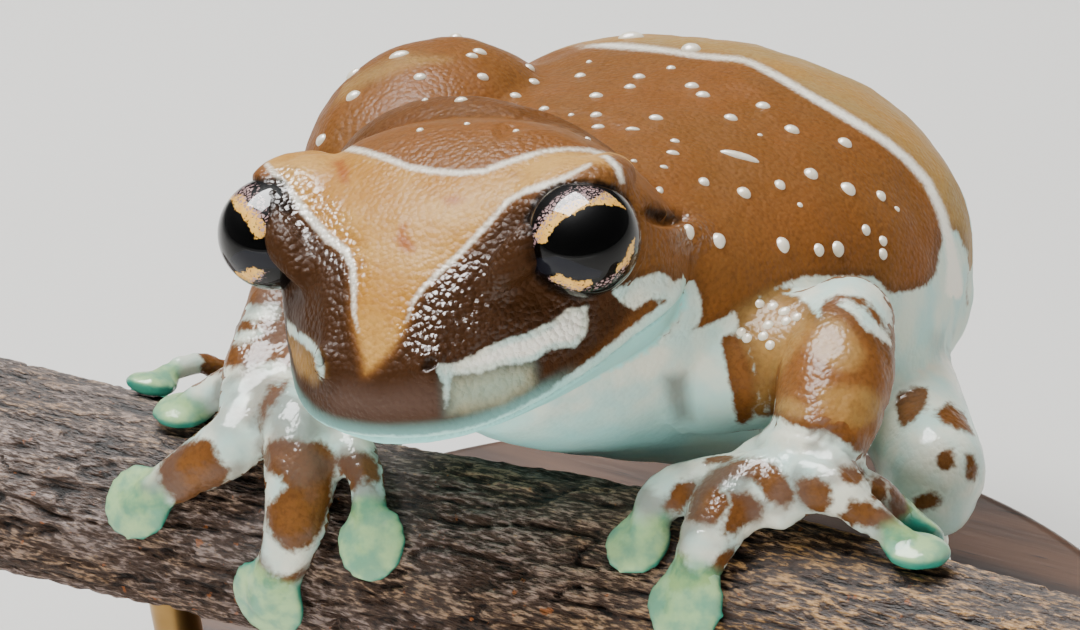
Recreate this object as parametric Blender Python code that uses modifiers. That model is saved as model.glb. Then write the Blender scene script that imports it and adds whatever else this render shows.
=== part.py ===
"""Life-size display model of an Amazon milk frog, gripping a cut branch on a small stand.

Every size below is in millimetres and is turned to metres where a mesh is made. The frog faces -Y, its
left is +X and +Z is up. The origin is the centre of the base's underside. The frog's own sizes start
from the point half way between its eyes, which stands above the base at MID_EYE.
"""

import math

import bmesh
import bpy
import numpy as np
from mathutils import Matrix, Vector

# Driving dimensions

MM = 0.001
GAP = 0.3
MID_EYE = (0.0, -20.0, 57.5)

# Turn of the head against the trunk, in degrees
HEAD_TURN = 8.7
HEAD_DIP = 11.7
HEAD_ROLL = 7.4

# Head: lengths ahead of the eyes are positive
EYE_SPREAD = 11.3
EYE_RADIUS = 3.75
LID_WALL = 0.75
LID_PROUD = 0.35
GAZE = (0.80, 0.50, 0.30)
LIP_FRONT = 11.9
LIP_DROP = 6.7
LIP_SLOPE = 0.16
LIP_LEDGE = 0.5
JAW_CORNER = -5.5
NECK_CUT = -9.5
NOSTRIL = (3.6, 9.7)
NOSTRIL_RADIUS = 0.5
EARDRUM = (13.2, -7.4, -4.3)
EARDRUM_RADIUS = 2.2

# Head stations: ahead, crown height, half width, chin height, roundness of the upper section
HEAD_STATIONS = (
    (-13.0, -1.2, 9.5, -20.0, 2.2),
    (-10.0, 1.3, 12.2, -18.4, 2.4),
    (-7.0, 2.8, 13.6, -17.0, 2.5),
    (-4.0, 3.2, 13.95, -15.5, 2.6),
    (0.0, 3.0, 12.53, -13.6, 2.7),
    (4.0, 2.0, 10.93, -11.6, 2.2),
    (7.0, 0.7, 9.17, -10.0, 2.05),
    (9.5, -0.9, 7.17, -8.8, 2.0),
    (11.0, -2.3, 5.1, -8.1, 2.1),
    (11.7, -3.4, 3.1, -7.7, 2.2),
    (12.0, -4.6, 1.1, -7.2, 2.2),
)

# Trunk stations: behind the eyes, middle, half width, back height, belly height, where the widest
# line runs between belly and back, and the roundness of the belly side
TRUNK_STATIONS = (
    (3.0, 0.0, 7.0, -2.0, -17.0, 0.55, 2.0),
    (8.0, 0.0, 11.5, -0.4, -21.5, 0.60, 2.0),
    (14.0, -0.2, 15.6, -1.6, -26.0, 0.60, 2.2),
    (22.0, -0.6, 19.2, -3.2, -30.4, 0.48, 3.0),
    (31.0, -1.2, 21.2, -5.0, -32.0, 0.44, 3.6),
    (40.0, -1.8, 20.6, -7.4, -32.2, 0.42, 3.6),
    (48.0, -2.4, 16.8, -12.0, -31.4, 0.42, 3.0),
    (54.0, -2.8, 10.6, -17.2, -29.5, 0.45, 2.4),
    (57.0, -3.0, 4.6, -21.3, -26.8, 0.50, 2.0),
)
BACK_ROUNDNESS = 2.2
RIGHT_FLANK = ((-15.2, 23.0, -11.0), (9.2, 11.5, 9.2))
NAPE = ((-2.2, 11.5, -4.4), (12.5, 6.2, 7.2))

# Perch: points of its axis, and its radius
PERCH_AXIS = (
    (-50.0, 3.0, -31.6),
    (-25.0, 3.0, -30.8),
    (0.0, 3.0, -29.3),
    (24.0, 3.0, -27.6),
    (50.0, 3.0, -28.4),
)
PERCH_RADIUS = 7.5
BARK_RIDGES = 7
BARK_RELIEF = 0.22

# Stand
BASE_LENGTH = 84.0
BASE_DEPTH = 72.0
BASE_HEIGHT = 5.0
ROD_RADIUS = 1.8
ROD_SPREAD = 30.0

# Limbs: points of each axis with half width and half height
ARMS = {
    "left": (
        ((11.2, 13.6, -16.6, 3.8, 4.0), (16.2, 14.8, -15.0, 4.0, 4.3), (20.6, 17.2, -12.9, 3.4, 3.6)),
        ((20.6, 17.8, -12.7, 3.3, 3.5), (22.0, 13.6, -13.3, 3.8, 3.9), (23.3, 8.4, -15.0, 3.3, 3.0)),
        ((23.4, 8.2, -15.4, 3.2, 2.6), (22.4, 6.6, -16.4, 3.9, 2.3), (20.9, 5.0, -17.4, 4.2, 2.1)),
    ),
    "right": (
        ((-10.6, 13.0, -16.5, 3.8, 4.0), (-15.6, 15.2, -15.3, 3.9, 4.1), (-19.8, 18.2, -13.8, 3.3, 3.5)),
        ((-20.0, 18.5, -13.6, 3.2, 3.4), (-20.5, 13.5, -14.8, 3.4, 3.5), (-20.1, 8.8, -17.0, 3.0, 2.9)),
        ((-19.9, 7.8, -17.3, 3.1, 2.7), (-18.8, 5.8, -18.4, 3.8, 2.5), (-17.4, 3.6, -19.4, 4.0, 2.3)),
    ),
}

# Fingers, innermost first: points of the axis with their radius, then the radius of the disc at the tip
FINGERS = {
    "left": (
        (
            ((19.4, 4.8, -17.3, 1.9), (16.6, 3.4, -17.6, 1.8), (14.6, 2.0, -18.2, 1.6), (13.9, -0.3, -20.5, 1.2)),
            2.35,
        ),
        (
            ((20.7, 4.5, -17.0, 2.2), (19.4, 2.4, -17.8, 2.2), (19.0, -0.2, -19.2, 1.8), (18.8, -3.0, -22.1, 1.5)),
            2.8,
        ),
        (
            ((22.6, 5.0, -16.6, 2.1), (25.8, 5.0, -16.2, 1.9), (28.4, 4.7, -17.5, 1.3), (31.9, 4.6, -19.3, 1.0)),
            2.5,
        ),
        (
            ((23.4, 6.4, -17.2, 1.7), (26.2, 8.2, -18.4, 1.4), (27.8, 9.6, -20.6, 1.1), (28.6, 10.5, -22.4, 1.0)),
            2.2,
        ),
    ),
    "right": (
        (
            ((-16.0, 3.6, -19.6, 1.9), (-11.8, 2.6, -19.6, 1.7), (-7.9, 0.0, -20.9, 1.4), (-5.8, -3.1, -24.0, 1.2)),
            2.7,
        ),
        (
            (
                (-16.0, 2.6, -19.3, 2.5),
                (-13.2, 0.2, -19.8, 2.6),
                (-11.7, -3.6, -23.6, 2.1),
                (-13.9, -5.2, -29.6, 1.6),
            ),
            3.1,
        ),
        (
            (
                (-18.6, 3.0, -19.4, 2.3),
                (-18.4, -0.2, -20.6, 2.2),
                (-21.0, -1.9, -22.4, 1.9),
                (-25.5, -3.6, -25.6, 1.5),
            ),
            2.8,
        ),
        (
            ((-19.4, 4.6, -19.6, 1.9), (-22.4, 5.0, -20.4, 1.5), (-24.6, 4.4, -21.6, 1.2), (-26.2, 3.8, -22.6, 1.1)),
            2.3,
        ),
    ),
}

# Hind limbs: points of each axis with half width and half height, for the left side
THIGH = ((4.5, 45.0, -25.8, 5.0, 4.6), (13.5, 35.5, -27.2, 4.6, 4.3), (23.6, 23.6, -27.4, 3.6, 3.8))
SHANK = ((23.4, 23.0, -28.8, 3.5, 3.5), (15.5, 36.0, -32.2, 3.1, 2.7), (8.5, 48.5, -33.4, 2.4, 2.2))
TARSUS = ((8.4, 48.8, -35.2, 2.2, 1.9), (14.5, 37.0, -36.8, 1.9, 1.7), (21.0, 24.0, -34.8, 2.9, 1.6))
RIGHT_HIND_SHIFT = -2.0
TOE_ROOTS = (20.4, 22.4, -34.4)
TOE_RADIUS = 1.15
TOE_DISC = 2.0

# Toes, innermost first: place along the perch and angle round it, from its top towards the front
TOES = {
    "left": ((16.5, -104.0), (20.0, -97.0), (23.6, -90.0), (27.4, -84.0), (31.2, -92.0)),
    "right": ((-16.5, -104.0), (-20.5, -97.0), (-25.0, -88.0), (-31.8, -30.0), (-35.5, -72.0)),
}


# Curves and frames


def smooth_table(places, stations):
    """Reads columns of a station table at the given places, along cubic curves that don't overshoot."""
    table = np.array(stations, float)
    knots, values = table[:, 0], table[:, 1:]
    steps = np.diff(knots)[:, None]
    slopes = np.diff(values, axis=0) / steps
    tangents = np.zeros_like(values)
    tangents[0], tangents[-1] = slopes[0], slopes[-1]
    before, after = slopes[:-1], slopes[1:]
    same_way = before * after > 0
    safe_before = np.where(same_way, before, 1.0)
    safe_after = np.where(same_way, after, 1.0)
    weight_before = 2 * steps[1:] + steps[:-1]
    weight_after = steps[1:] + 2 * steps[:-1]
    mean = (weight_before + weight_after) / (weight_before / safe_before + weight_after / safe_after)
    tangents[1:-1] = np.where(same_way, mean, 0.0)
    places = np.atleast_1d(np.asarray(places, float))
    cell = np.clip(np.searchsorted(knots, places) - 1, 0, len(knots) - 2)
    part = ((places - knots[cell]) / steps[cell, 0])[:, None]
    step = steps[cell]
    return (
        (2 * part**3 - 3 * part**2 + 1) * values[cell]
        + (part**3 - 2 * part**2 + part) * step * tangents[cell]
        + (3 * part**2 - 2 * part**3) * values[cell + 1]
        + (part**3 - part**2) * step * tangents[cell + 1]
    )


def spline(points, count):
    """A Catmull-Rom curve of count rows through the points, whose extra columns run along with it."""
    knots = np.array(points, float)
    knots = np.vstack([2 * knots[0] - knots[1], knots, 2 * knots[-1] - knots[-2]])
    chords = np.linalg.norm(np.diff(knots[1:-1, :3], axis=0), axis=1)
    lengths = np.concatenate([[0.0], np.cumsum(chords)])
    places = np.linspace(0, lengths[-1], count)
    cell = np.clip(np.searchsorted(lengths, places, side="right") - 1, 0, len(knots) - 4)
    part = ((places - lengths[cell]) / chords[cell])[:, None]
    a, b, c, d = knots[cell], knots[cell + 1], knots[cell + 2], knots[cell + 3]
    return 0.5 * (
        2 * b
        + (c - a) * part
        + (2 * a - 5 * b + 4 * c - d) * part**2
        + (3 * b - a - 3 * c + d) * part**3
    )


def unit(vectors):
    """Vectors of length one along the given ones."""
    vectors = np.asarray(vectors, float)
    return vectors / np.linalg.norm(vectors, axis=-1, keepdims=True)


def head_frame():
    """Rows left, ahead and up of the head, in the model's axes."""
    turn = (
        Matrix.Rotation(math.radians(HEAD_TURN), 3, "Z")
        @ Matrix.Rotation(math.radians(HEAD_DIP), 3, "X")
        @ Matrix.Rotation(math.radians(-HEAD_ROLL), 3, "Y")
    )
    turn = np.array(turn)
    return np.stack([turn[:, 0], -turn[:, 1], turn[:, 2]])


HEAD = head_frame()


def head_point(left, ahead, up):
    """A point of the head, from the middle between the eyes."""
    return np.array([left, ahead, up], float) @ HEAD


def perch_point(along, angle, reach):
    """A point reach away from the perch's axis, at an angle from its top towards the front."""
    depth, height = smooth_table(along, PERCH_AXIS)[0]
    turn = math.radians(angle)
    return np.array([along, depth - reach * math.sin(turn), height + reach * math.cos(turn)])


# Meshes


def new_object(name, points, faces, collection):
    """An object from points in millimetres that are measured from the middle between the eyes."""
    mesh = bpy.data.meshes.new(name)
    places = (np.asarray(points, float) + np.array(MID_EYE)) * MM
    mesh.from_pydata(places.tolist(), [], [list(face) for face in faces])
    face_outward(mesh)
    made = bpy.data.objects.new(name, mesh)
    collection.objects.link(made)
    return made


def loft(name, rings, collection):
    """A closed body through rings of equally many points, capped by a fan at each end."""
    rows, sides, _ = rings.shape
    points = rings.reshape(-1, 3)
    first, second = rings[0].mean(axis=0), rings[-1].mean(axis=0)
    points = np.vstack([points, first, second])
    faces = []
    for row in range(rows - 1):
        for side in range(sides):
            after = (side + 1) % sides
            low, high = row * sides, (row + 1) * sides
            faces.append((low + side, low + after, high + after, high + side))
    last = (rows - 1) * sides
    for side in range(sides):
        after = (side + 1) % sides
        faces.append((after, side, rows * sides))
        faces.append((last + side, last + after, rows * sides + 1))
    return new_object(name, points, faces, collection)


def limb(name, points, collection, rows=8, sides=10, up=(0.1, 0.05, 1.0)):
    """A limb along a curve, oval in section, with round ends."""
    track = spline(points, rows)
    middles, wide, high = track[:, :3], track[:, 3], track[:, 4]
    ways = unit(np.gradient(middles, axis=0))
    across = unit(np.cross(ways, np.asarray(up, float)))
    above = np.cross(across, ways)
    angle = np.linspace(0, 2 * math.pi, sides, endpoint=False)
    circle = np.stack([np.cos(angle), np.sin(angle)], -1)
    rings = []
    end_angles = np.radians((62.0, 30.0))
    for turn in end_angles:
        shift = -ways[0] * math.sin(turn) * min(wide[0], high[0])
        rings.append((middles[0] + shift, wide[0] * math.cos(turn), high[0] * math.cos(turn), 0))
    for row in range(rows):
        rings.append((middles[row], wide[row], high[row], row))
    for turn in end_angles[::-1]:
        shift = ways[-1] * math.sin(turn) * min(wide[-1], high[-1])
        rings.append((middles[-1] + shift, wide[-1] * math.cos(turn), high[-1] * math.cos(turn), rows - 1))
    drawn = [
        middle + circle[:, :1] * half_wide * across[row] + circle[:, 1:] * half_high * above[row]
        for middle, half_wide, half_high, row in rings
    ]
    return loft(name, np.array(drawn), collection)


def ball(name, middle, radii, collection, axes=None, segments=16, bands=10):
    """An ellipsoid whose radii lie along the rows of axes."""
    made = bmesh.new()
    bmesh.ops.create_uvsphere(made, u_segments=segments, v_segments=bands, radius=1.0)
    points = np.array([corner.co[:] for corner in made.verts]) * np.asarray(radii, float)
    faces = [[corner.index for corner in face.verts] for face in made.faces]
    made.free()
    axes = np.eye(3) if axes is None else np.asarray(axes)
    return new_object(name, points @ axes + np.asarray(middle), faces, collection)


def frame_along(direction):
    """Three axes at right angles, the last of them along the direction."""
    last = unit(direction)
    hint = (0.0, 0.0, 1.0) if abs(last[2]) < 0.9 else (0.0, 1.0, 0.0)
    first = unit(np.cross(hint, last))
    return np.stack([first, np.cross(last, first), last])


def turned(name, profile, middle, direction, collection, sides=20):
    """A body turned about a direction through the middle, from rows of radius and height, top to bottom."""
    mesh = bpy.data.meshes.new(name)
    points = [(radius * MM, 0.0, height * MM) for radius, height in profile]
    mesh.from_pydata(points, [(row, row + 1) for row in range(len(points) - 1)], [])
    made = bpy.data.objects.new(name, mesh)
    collection.objects.link(made)
    screw = made.modifiers.new("Turn", "SCREW")
    screw.steps = screw.render_steps = sides
    screw.use_merge_vertices = True
    screw.merge_threshold = 0.00001
    apply_modifiers(made)
    place = Matrix(frame_along(direction).tolist()).transposed().to_4x4()
    place.translation = Vector((np.asarray(middle) + np.array(MID_EYE)) * MM)
    made.data.transform(place)
    face_outward(made.data)
    return made


def face_outward(mesh):
    """Turns the faces of a closed mesh to point out."""
    shape = bmesh.new()
    shape.from_mesh(mesh)
    bmesh.ops.recalc_face_normals(shape, faces=shape.faces)
    shape.to_mesh(mesh)
    shape.free()


def block(name, low, high, axes, collection, pivot=(0.0, 0.0, 0.0)):
    """A box between two corners given along the rows of axes from the pivot."""
    shape = bmesh.new()
    bmesh.ops.create_cube(shape, size=1.0)
    low, high = np.asarray(low, float), np.asarray(high, float)
    points = np.array([corner.co[:] for corner in shape.verts]) * (high - low) + (low + high) / 2
    faces = [[corner.index for corner in face.verts] for face in shape.faces]
    shape.free()
    return new_object(name, points @ np.asarray(axes) + np.asarray(pivot), faces, collection)


# Joining and cutting


def evaluated_mesh(target):
    """The target's mesh with its modifiers worked in."""
    graph = bpy.context.evaluated_depsgraph_get()
    return bpy.data.meshes.new_from_object(target.evaluated_get(graph))


def apply_modifiers(target):
    """Works the target's modifiers into its mesh."""
    mesh = evaluated_mesh(target)
    target.modifiers.clear()
    old = target.data
    target.data = mesh
    bpy.data.meshes.remove(old)


def boolean(target, others, operation, collection_name):
    """Joins, cuts or keeps the target with the other objects, which are then removed.

    Many pieces here cross at a shallow angle, where the exact way leaves open edges."""
    group = bpy.data.collections.new(collection_name)
    bpy.context.scene.collection.children.link(group)
    for other in others:
        for user in tuple(other.users_collection):
            user.objects.unlink(other)
        group.objects.link(other)
    step = target.modifiers.new(operation.title(), "BOOLEAN")
    step.operation = operation
    step.operand_type = "COLLECTION"
    step.collection = group
    step.solver = "MANIFOLD"
    apply_modifiers(target)
    for other in others:
        bpy.data.objects.remove(other)
    bpy.data.collections.remove(group)


def join(name, pieces):
    """One body from overlapping pieces."""
    target = pieces[0]
    target.name = name
    boolean(target, pieces[1:], "UNION", "Joining")
    return keep_largest(target)


def cut(target, cutters):
    """The target less the cutters."""
    boolean(target, cutters, "DIFFERENCE", "Cutting")
    return keep_largest(target)


def keep_largest(target):
    """Keeps the closed surface with the most room inside and drops loose scraps."""
    shape = bmesh.new()
    shape.from_mesh(target.data)
    bmesh.ops.remove_doubles(shape, verts=shape.verts, dist=1e-6)
    seen = set()
    bodies = []
    for start in shape.faces:
        if start in seen:
            continue
        body, queue = [], [start]
        seen.add(start)
        while queue:
            face = queue.pop()
            body.append(face)
            for edge in face.edges:
                for near in edge.link_faces:
                    if near not in seen:
                        seen.add(near)
                        queue.append(near)
        bodies.append(body)

    def room(body):
        total = 0.0
        for face in body:
            corners = [corner.co for corner in face.verts]
            for second, third in zip(corners[1:-1], corners[2:]):
                total += corners[0].dot(second.cross(third))
        return abs(total)

    largest = max(bodies, key=room)
    spare = [face for body in bodies if body is not largest for face in body]
    bmesh.ops.delete(shape, geom=spare, context="FACES")
    shape.to_mesh(target.data)
    shape.free()
    return target


def grown_copy(source, amount, collection):
    """A copy of the source whose surface stands out by amount millimetres."""
    shape = bmesh.new()
    shape.from_mesh(source.data)
    bmesh.ops.triangulate(shape, faces=shape.faces)
    shape.normal_update()
    moves = [(corner, corner.normal.copy() * corner.calc_shell_factor()) for corner in shape.verts]
    for corner, move in moves:
        corner.co += move.normalized() * min(move.length, 1.5) * amount * MM
    mesh = bpy.data.meshes.new(source.name + "_cutter")
    shape.to_mesh(mesh)
    shape.free()
    made = bpy.data.objects.new(source.name + "_cutter", mesh)
    collection.objects.link(made)
    return made


def clear_of(target, neighbours, collection):
    """Cuts the target a gap clear of each neighbour, so that they meet face to face."""
    for neighbour in neighbours:
        cut(target, [grown_copy(neighbour, GAP, collection)])
    return target


# Head


def ridge(points, line, height, spread):
    """How far each point is lifted by a rounded ridge along a line."""
    track = spline(line, 24)[:, :3]
    away = np.linalg.norm(points[:, None] - track[None], axis=-1).min(axis=1)
    return height * np.exp(-((away / spread) ** 2))


def head_rings(sides=36):
    """Rings of the head from the neck to the snout: an upper half over the lip and a narrower lower half."""
    blunt = 1 - np.sin(np.linspace(0, math.pi / 2, 11))
    places = np.concatenate([np.linspace(-13.0, 7.2, 15), 12.0 - 4.0 * blunt])
    places[-1] = 11.98
    crown, wide, chin, round_up = smooth_table(places, HEAD_STATIONS).T
    lip = -LIP_DROP - LIP_SLOPE * (LIP_FRONT - places)
    half = sides // 2
    upper = np.linspace(0, math.pi, half + 1)
    lower = np.linspace(math.pi, 2 * math.pi, half + 1)[1:-1]
    rings = []
    for row, ahead in enumerate(places):
        power = 2 / round_up[row]
        left = wide[row] * np.sign(np.cos(upper)) * np.abs(np.cos(upper)) ** power
        up = lip[row] + (crown[row] - lip[row]) * np.sin(upper) ** power
        inner = wide[row] - LIP_LEDGE * min(1.0, wide[row] / 2)
        low_left = inner * np.cos(lower)
        low_up = lip[row] - GAP - (lip[row] - chin[row]) * np.abs(np.sin(lower)) ** 1.1
        left, up = np.concatenate([left, low_left]), np.concatenate([up, low_up])
        rings.append(np.stack([left, np.full_like(left, ahead), up], -1))
    return np.array(rings)


def head_core(collection):
    """The head without eyes: snout, canthal ridges, brow and throat."""
    rings = head_rings()
    points = rings.reshape(-1, 3)
    lift = np.zeros(len(points))
    for side in (1, -1):
        canthus = ((side * 7.4, 3.4, 1.8), (side * 4.9, 6.6, 0.9), (side * 3.7, 9.6, -1.0))
        lift += ridge(points, canthus, 0.55, 1.1)
        cheek = ((side * 8.4, 7.4, -3.6), (side * 6.0, 9.6, -3.9))
        lift -= ridge(points, cheek, 0.35, 1.8)
    points = points + lift[:, None] * np.array([0.0, 0.25, 1.0])
    return loft("head_core", (points @ HEAD).reshape(rings.shape), collection)


def lid_cup(side, collection):
    """The raised lids: a cup about the eye, open along the gaze."""
    gaze = np.array([side * GAZE[0], GAZE[1], GAZE[2]]) @ HEAD
    outer = EYE_RADIUS + GAP + LID_WALL
    profile = (
        (0.0, LID_PROUD),
        (EYE_RADIUS + GAP + 0.15, LID_PROUD),
        (outer - 0.1, LID_PROUD - 0.3),
        (outer, -0.4),
        (outer * 0.93, -outer * 0.36),
        (outer * 0.70, -outer * 0.71),
        (outer * 0.30, -outer * 0.95),
        (0.0, -outer),
    )
    middle = head_point(side * EYE_SPREAD, 0.0, 0.0)
    return turned(f"lid_{side}", profile, middle, gaze, collection, sides=22)


def brow(side, collection):
    """The swelling that carries the eye on the head, under and behind the lids."""
    middle = head_point(side * 9.7, -1.3, -0.7)
    return ball(f"brow_{side}", middle, (4.2, 5.4, 4.8), collection, axes=HEAD, segments=16, bands=10)


def eye(side, label, collection):
    """One eyeball, its pole along the gaze."""
    gaze = np.array([side * GAZE[0], GAZE[1], GAZE[2]]) @ HEAD
    middle = head_point(side * EYE_SPREAD, 0.0, 0.0)
    radii = (EYE_RADIUS,) * 3
    axes = frame_along(gaze)
    return ball(f"eye_{label}", middle, radii, collection, axes=axes, segments=18, bands=10)


def nostril_rim(side, collection):
    """The small swelling round a nostril."""
    left, ahead = NOSTRIL
    middle = head_point(side * left, ahead, -1.9)
    return ball(f"nostril_rim_{side}", middle, (1.25, 1.3, 0.95), collection, axes=HEAD, segments=12, bands=8)


def nostril_pit(side, collection):
    """A short pin that cuts a nostril into its swelling."""
    left, ahead = NOSTRIL
    middle = head_point(side * (left + 0.35), ahead + 0.35, -1.2)
    way = np.array([side * 0.75, 0.45, 0.75]) @ HEAD
    profile = (
        (0.0, 1.4),
        (NOSTRIL_RADIUS, 1.4),
        (NOSTRIL_RADIUS, -0.2),
        (NOSTRIL_RADIUS * 0.5, -0.8),
        (0.0, -0.8),
    )
    return turned(f"nostril_pit_{side}", profile, middle, way, collection, sides=10)


def eardrum(side, collection):
    """The round tympanum with a low rim, on the side of the head behind the eye."""
    left, ahead, up = EARDRUM
    middle = head_point(side * left, ahead, up)
    way = np.array([side * 0.9, -0.15, 0.4]) @ HEAD
    profile = (
        (0.0, 0.2),
        (EARDRUM_RADIUS - 0.45, 0.1),
        (EARDRUM_RADIUS, 0.35),
        (EARDRUM_RADIUS + 0.3, 0.1),
        (EARDRUM_RADIUS + 0.5, -1.6),
        (0.0, -1.6),
    )
    return turned(f"eardrum_{side}", profile, middle, way, collection, sides=16)


def ear_fold(side, collection):
    """The fold that runs from behind the eye over the tympanum to the shoulder."""
    points = (
        (side * 12.0, -3.6, -0.6),
        (side * 12.7, -6.4, -1.2),
        (side * 12.7, -9.2, -3.2),
        (side * 12.0, -12.0, -6.2),
    )
    track = [(*head_point(*point), 0.95, 0.95) for point in points]
    return limb(f"ear_fold_{side}", track, collection, rows=7, sides=8)


# Trunk


def trunk_rings(rows=20, sides=30):
    """Rings of the trunk from inside the head to the rump."""
    places = np.linspace(TRUNK_STATIONS[0][0], TRUNK_STATIONS[-1][0], rows)
    middle, wide, back, belly, widest, belly_round = smooth_table(places, TRUNK_STATIONS).T
    angle = np.linspace(0, 2 * math.pi, sides, endpoint=False)[::-1]
    rings = []
    for row, behind in enumerate(places):
        line = belly[row] + (back[row] - belly[row]) * widest[row]
        power = np.where(np.sin(angle) > 0, 2 / BACK_ROUNDNESS, 2 / belly_round[row])
        left = middle[row] + wide[row] * np.sign(np.cos(angle)) * np.abs(np.cos(angle)) ** power
        reach = np.where(np.sin(angle) > 0, back[row] - line, line - belly[row])
        up = line + reach * np.sign(np.sin(angle)) * np.abs(np.sin(angle)) ** power
        rings.append(np.stack([left, np.full_like(left, behind), up], -1))
    return np.array(rings)


def whole_body(collection):
    """Head and trunk in one piece, before they are parted."""
    pieces = [loft("trunk", trunk_rings(), collection), head_core(collection)]
    for name, (middle, radii) in (("right_flank", RIGHT_FLANK), ("nape", NAPE)):
        pieces.append(ball(name, middle, radii, collection, segments=16, bands=10))
    for side in (1, -1):
        pieces += [
            brow(side, collection),
            lid_cup(side, collection),
            nostril_rim(side, collection),
            eardrum(side, collection),
            ear_fold(side, collection),
        ]
    return join("body", pieces)


def duplicate(source, name, collection):
    """A copy of the source with a mesh of its own."""
    made = bpy.data.objects.new(name, source.data.copy())
    collection.objects.link(made)
    return made


def part_body(body, collection):
    """Parts the whole body into head, lower jaw and torso with thin cuts."""
    far = 80.0
    torso = duplicate(body, "torso", collection)
    cut(torso, [block("ahead_of_neck", (-far, NECK_CUT - GAP / 2, -far), (far, far, far), HEAD, collection)])
    head = body
    head.name = "head"
    cut(head, [block("behind_neck", (-far, -far, -far), (far, NECK_CUT + GAP / 2, far), HEAD, collection)])
    jaw = duplicate(head, "lower_jaw", collection)
    slope = math.atan(LIP_SLOPE)
    along_lip = HEAD[1] * math.cos(slope) + HEAD[2] * math.sin(slope)
    lip_axes = np.stack([HEAD[0], along_lip, np.cross(along_lip, HEAD[0])])
    corner = head_point(0.0, JAW_CORNER, -LIP_DROP - LIP_SLOPE * (LIP_FRONT - JAW_CORNER))
    below = block("below_mouth", (-far, 0.0, -far), (far, far, 0.0), lip_axes, collection, corner)
    cut(head, [below])
    keep = block("mouth_block", (-far, GAP, -far), (far, far, -GAP), lip_axes, collection, corner)
    boolean(jaw, [keep], "INTERSECT", "Keeping")
    keep_largest(jaw)
    return head, jaw, torso


# Perch and stand


def perch(collection, rows=21, sides=28):
    """A cut length of branch with low lengthwise ridges of bark."""
    track = spline([(*point, 0.0) for point in PERCH_AXIS], rows)[:, :3]
    angle = np.linspace(0, 2 * math.pi, sides, endpoint=False)
    rings = []
    for along, depth, height in track:
        relief = BARK_RELIEF * np.sin(BARK_RIDGES * angle + 0.09 * along)
        swell = 0.25 * math.sin(0.11 * along + 1.0)
        radius = PERCH_RADIUS + swell + relief
        rings.append(
            np.stack([np.full_like(angle, along), depth + radius * np.cos(angle), height + radius * np.sin(angle)], -1)
        )
    return loft("perch", np.array(rings), collection)


def stand_base(collection):
    """The oval base plate with a rounded upper edge."""
    shape = bmesh.new()
    size = Matrix.Diagonal((BASE_LENGTH / 2 * MM, BASE_DEPTH / 2 * MM, BASE_HEIGHT * MM, 1.0))
    lifted = Matrix.Translation((0.0, 0.0, BASE_HEIGHT / 2 * MM)) @ size
    bmesh.ops.create_cone(shape, cap_ends=True, segments=48, radius1=1.0, radius2=1.0, depth=1.0, matrix=lifted)
    mesh = bpy.data.meshes.new("stand_base")
    shape.to_mesh(mesh)
    shape.free()
    made = bpy.data.objects.new("stand_base", mesh)
    collection.objects.link(made)
    rounding = made.modifiers.new("Rounded edge", "BEVEL")
    rounding.width = 0.9 * MM
    rounding.segments = 2
    rounding.limit_method = "ANGLE"
    rounding.angle_limit = math.radians(50)
    return made


def stand_rod(side, label, collection):
    """A round rod from the base up into the underside of the perch."""
    along = side * ROD_SPREAD
    depth, height = smooth_table(along, PERCH_AXIS)[0]
    low = BASE_HEIGHT + GAP
    high = MID_EYE[2] + height - 1.0
    shape = bmesh.new()
    middle = Matrix.Translation(
        ((MID_EYE[0] + along) * MM, (MID_EYE[1] + depth) * MM, (low + high) / 2 * MM)
    )
    bmesh.ops.create_cone(
        shape,
        cap_ends=True,
        segments=20,
        radius1=ROD_RADIUS * MM,
        radius2=ROD_RADIUS * MM,
        depth=(high - low) * MM,
        matrix=middle,
    )
    mesh = bpy.data.meshes.new(f"stand_rod_{label}")
    shape.to_mesh(mesh)
    shape.free()
    made = bpy.data.objects.new(f"stand_rod_{label}", mesh)
    collection.objects.link(made)
    return made


# Limbs


def digit(name, points, disc_radius, collection):
    """A finger or toe that ends in a flat round disc, pressed on the perch."""
    track = [(*point[:3], point[3], point[3]) for point in points]
    shaft = limb(name, track, collection, rows=6, sides=7, up=(0.2, -0.6, 0.8))
    tip = np.array(points[-1][:3])
    depth, height = smooth_table(tip[0], PERCH_AXIS)[0]
    outward = unit(tip - np.array([tip[0], depth, height]))
    before = np.array(points[-2][:3])
    ahead = tip - before
    ahead = unit(ahead - outward * ahead.dot(outward))
    axes = np.stack([ahead, np.cross(outward, ahead), outward])
    radii = (disc_radius, disc_radius * 0.95, 0.9)
    disc = ball(name + "_disc", tip, radii, collection, axes=axes, segments=10, bands=6)
    return [shaft, disc]


def arm(label, collection):
    """Upper arm, forearm and hand of one side, not yet parted."""
    upper, fore, palm = ARMS[label]
    upper_arm = limb(f"upper_arm_{label}", upper, collection)
    forearm = limb(f"forearm_{label}", fore, collection)
    pieces = [limb(f"palm_{label}", palm, collection, rows=5, sides=12)]
    for number, (points, disc) in enumerate(FINGERS[label], start=1):
        pieces += digit(f"finger_{label}_{number}", points, disc, collection)
    return upper_arm, forearm, join(f"hand_{label}", pieces)


def shifted(points, side):
    """Points of the left hind limb, or their image on the right."""
    if side > 0:
        return points
    return tuple((-x + RIGHT_HIND_SHIFT, *rest) for x, *rest in points)


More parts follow.
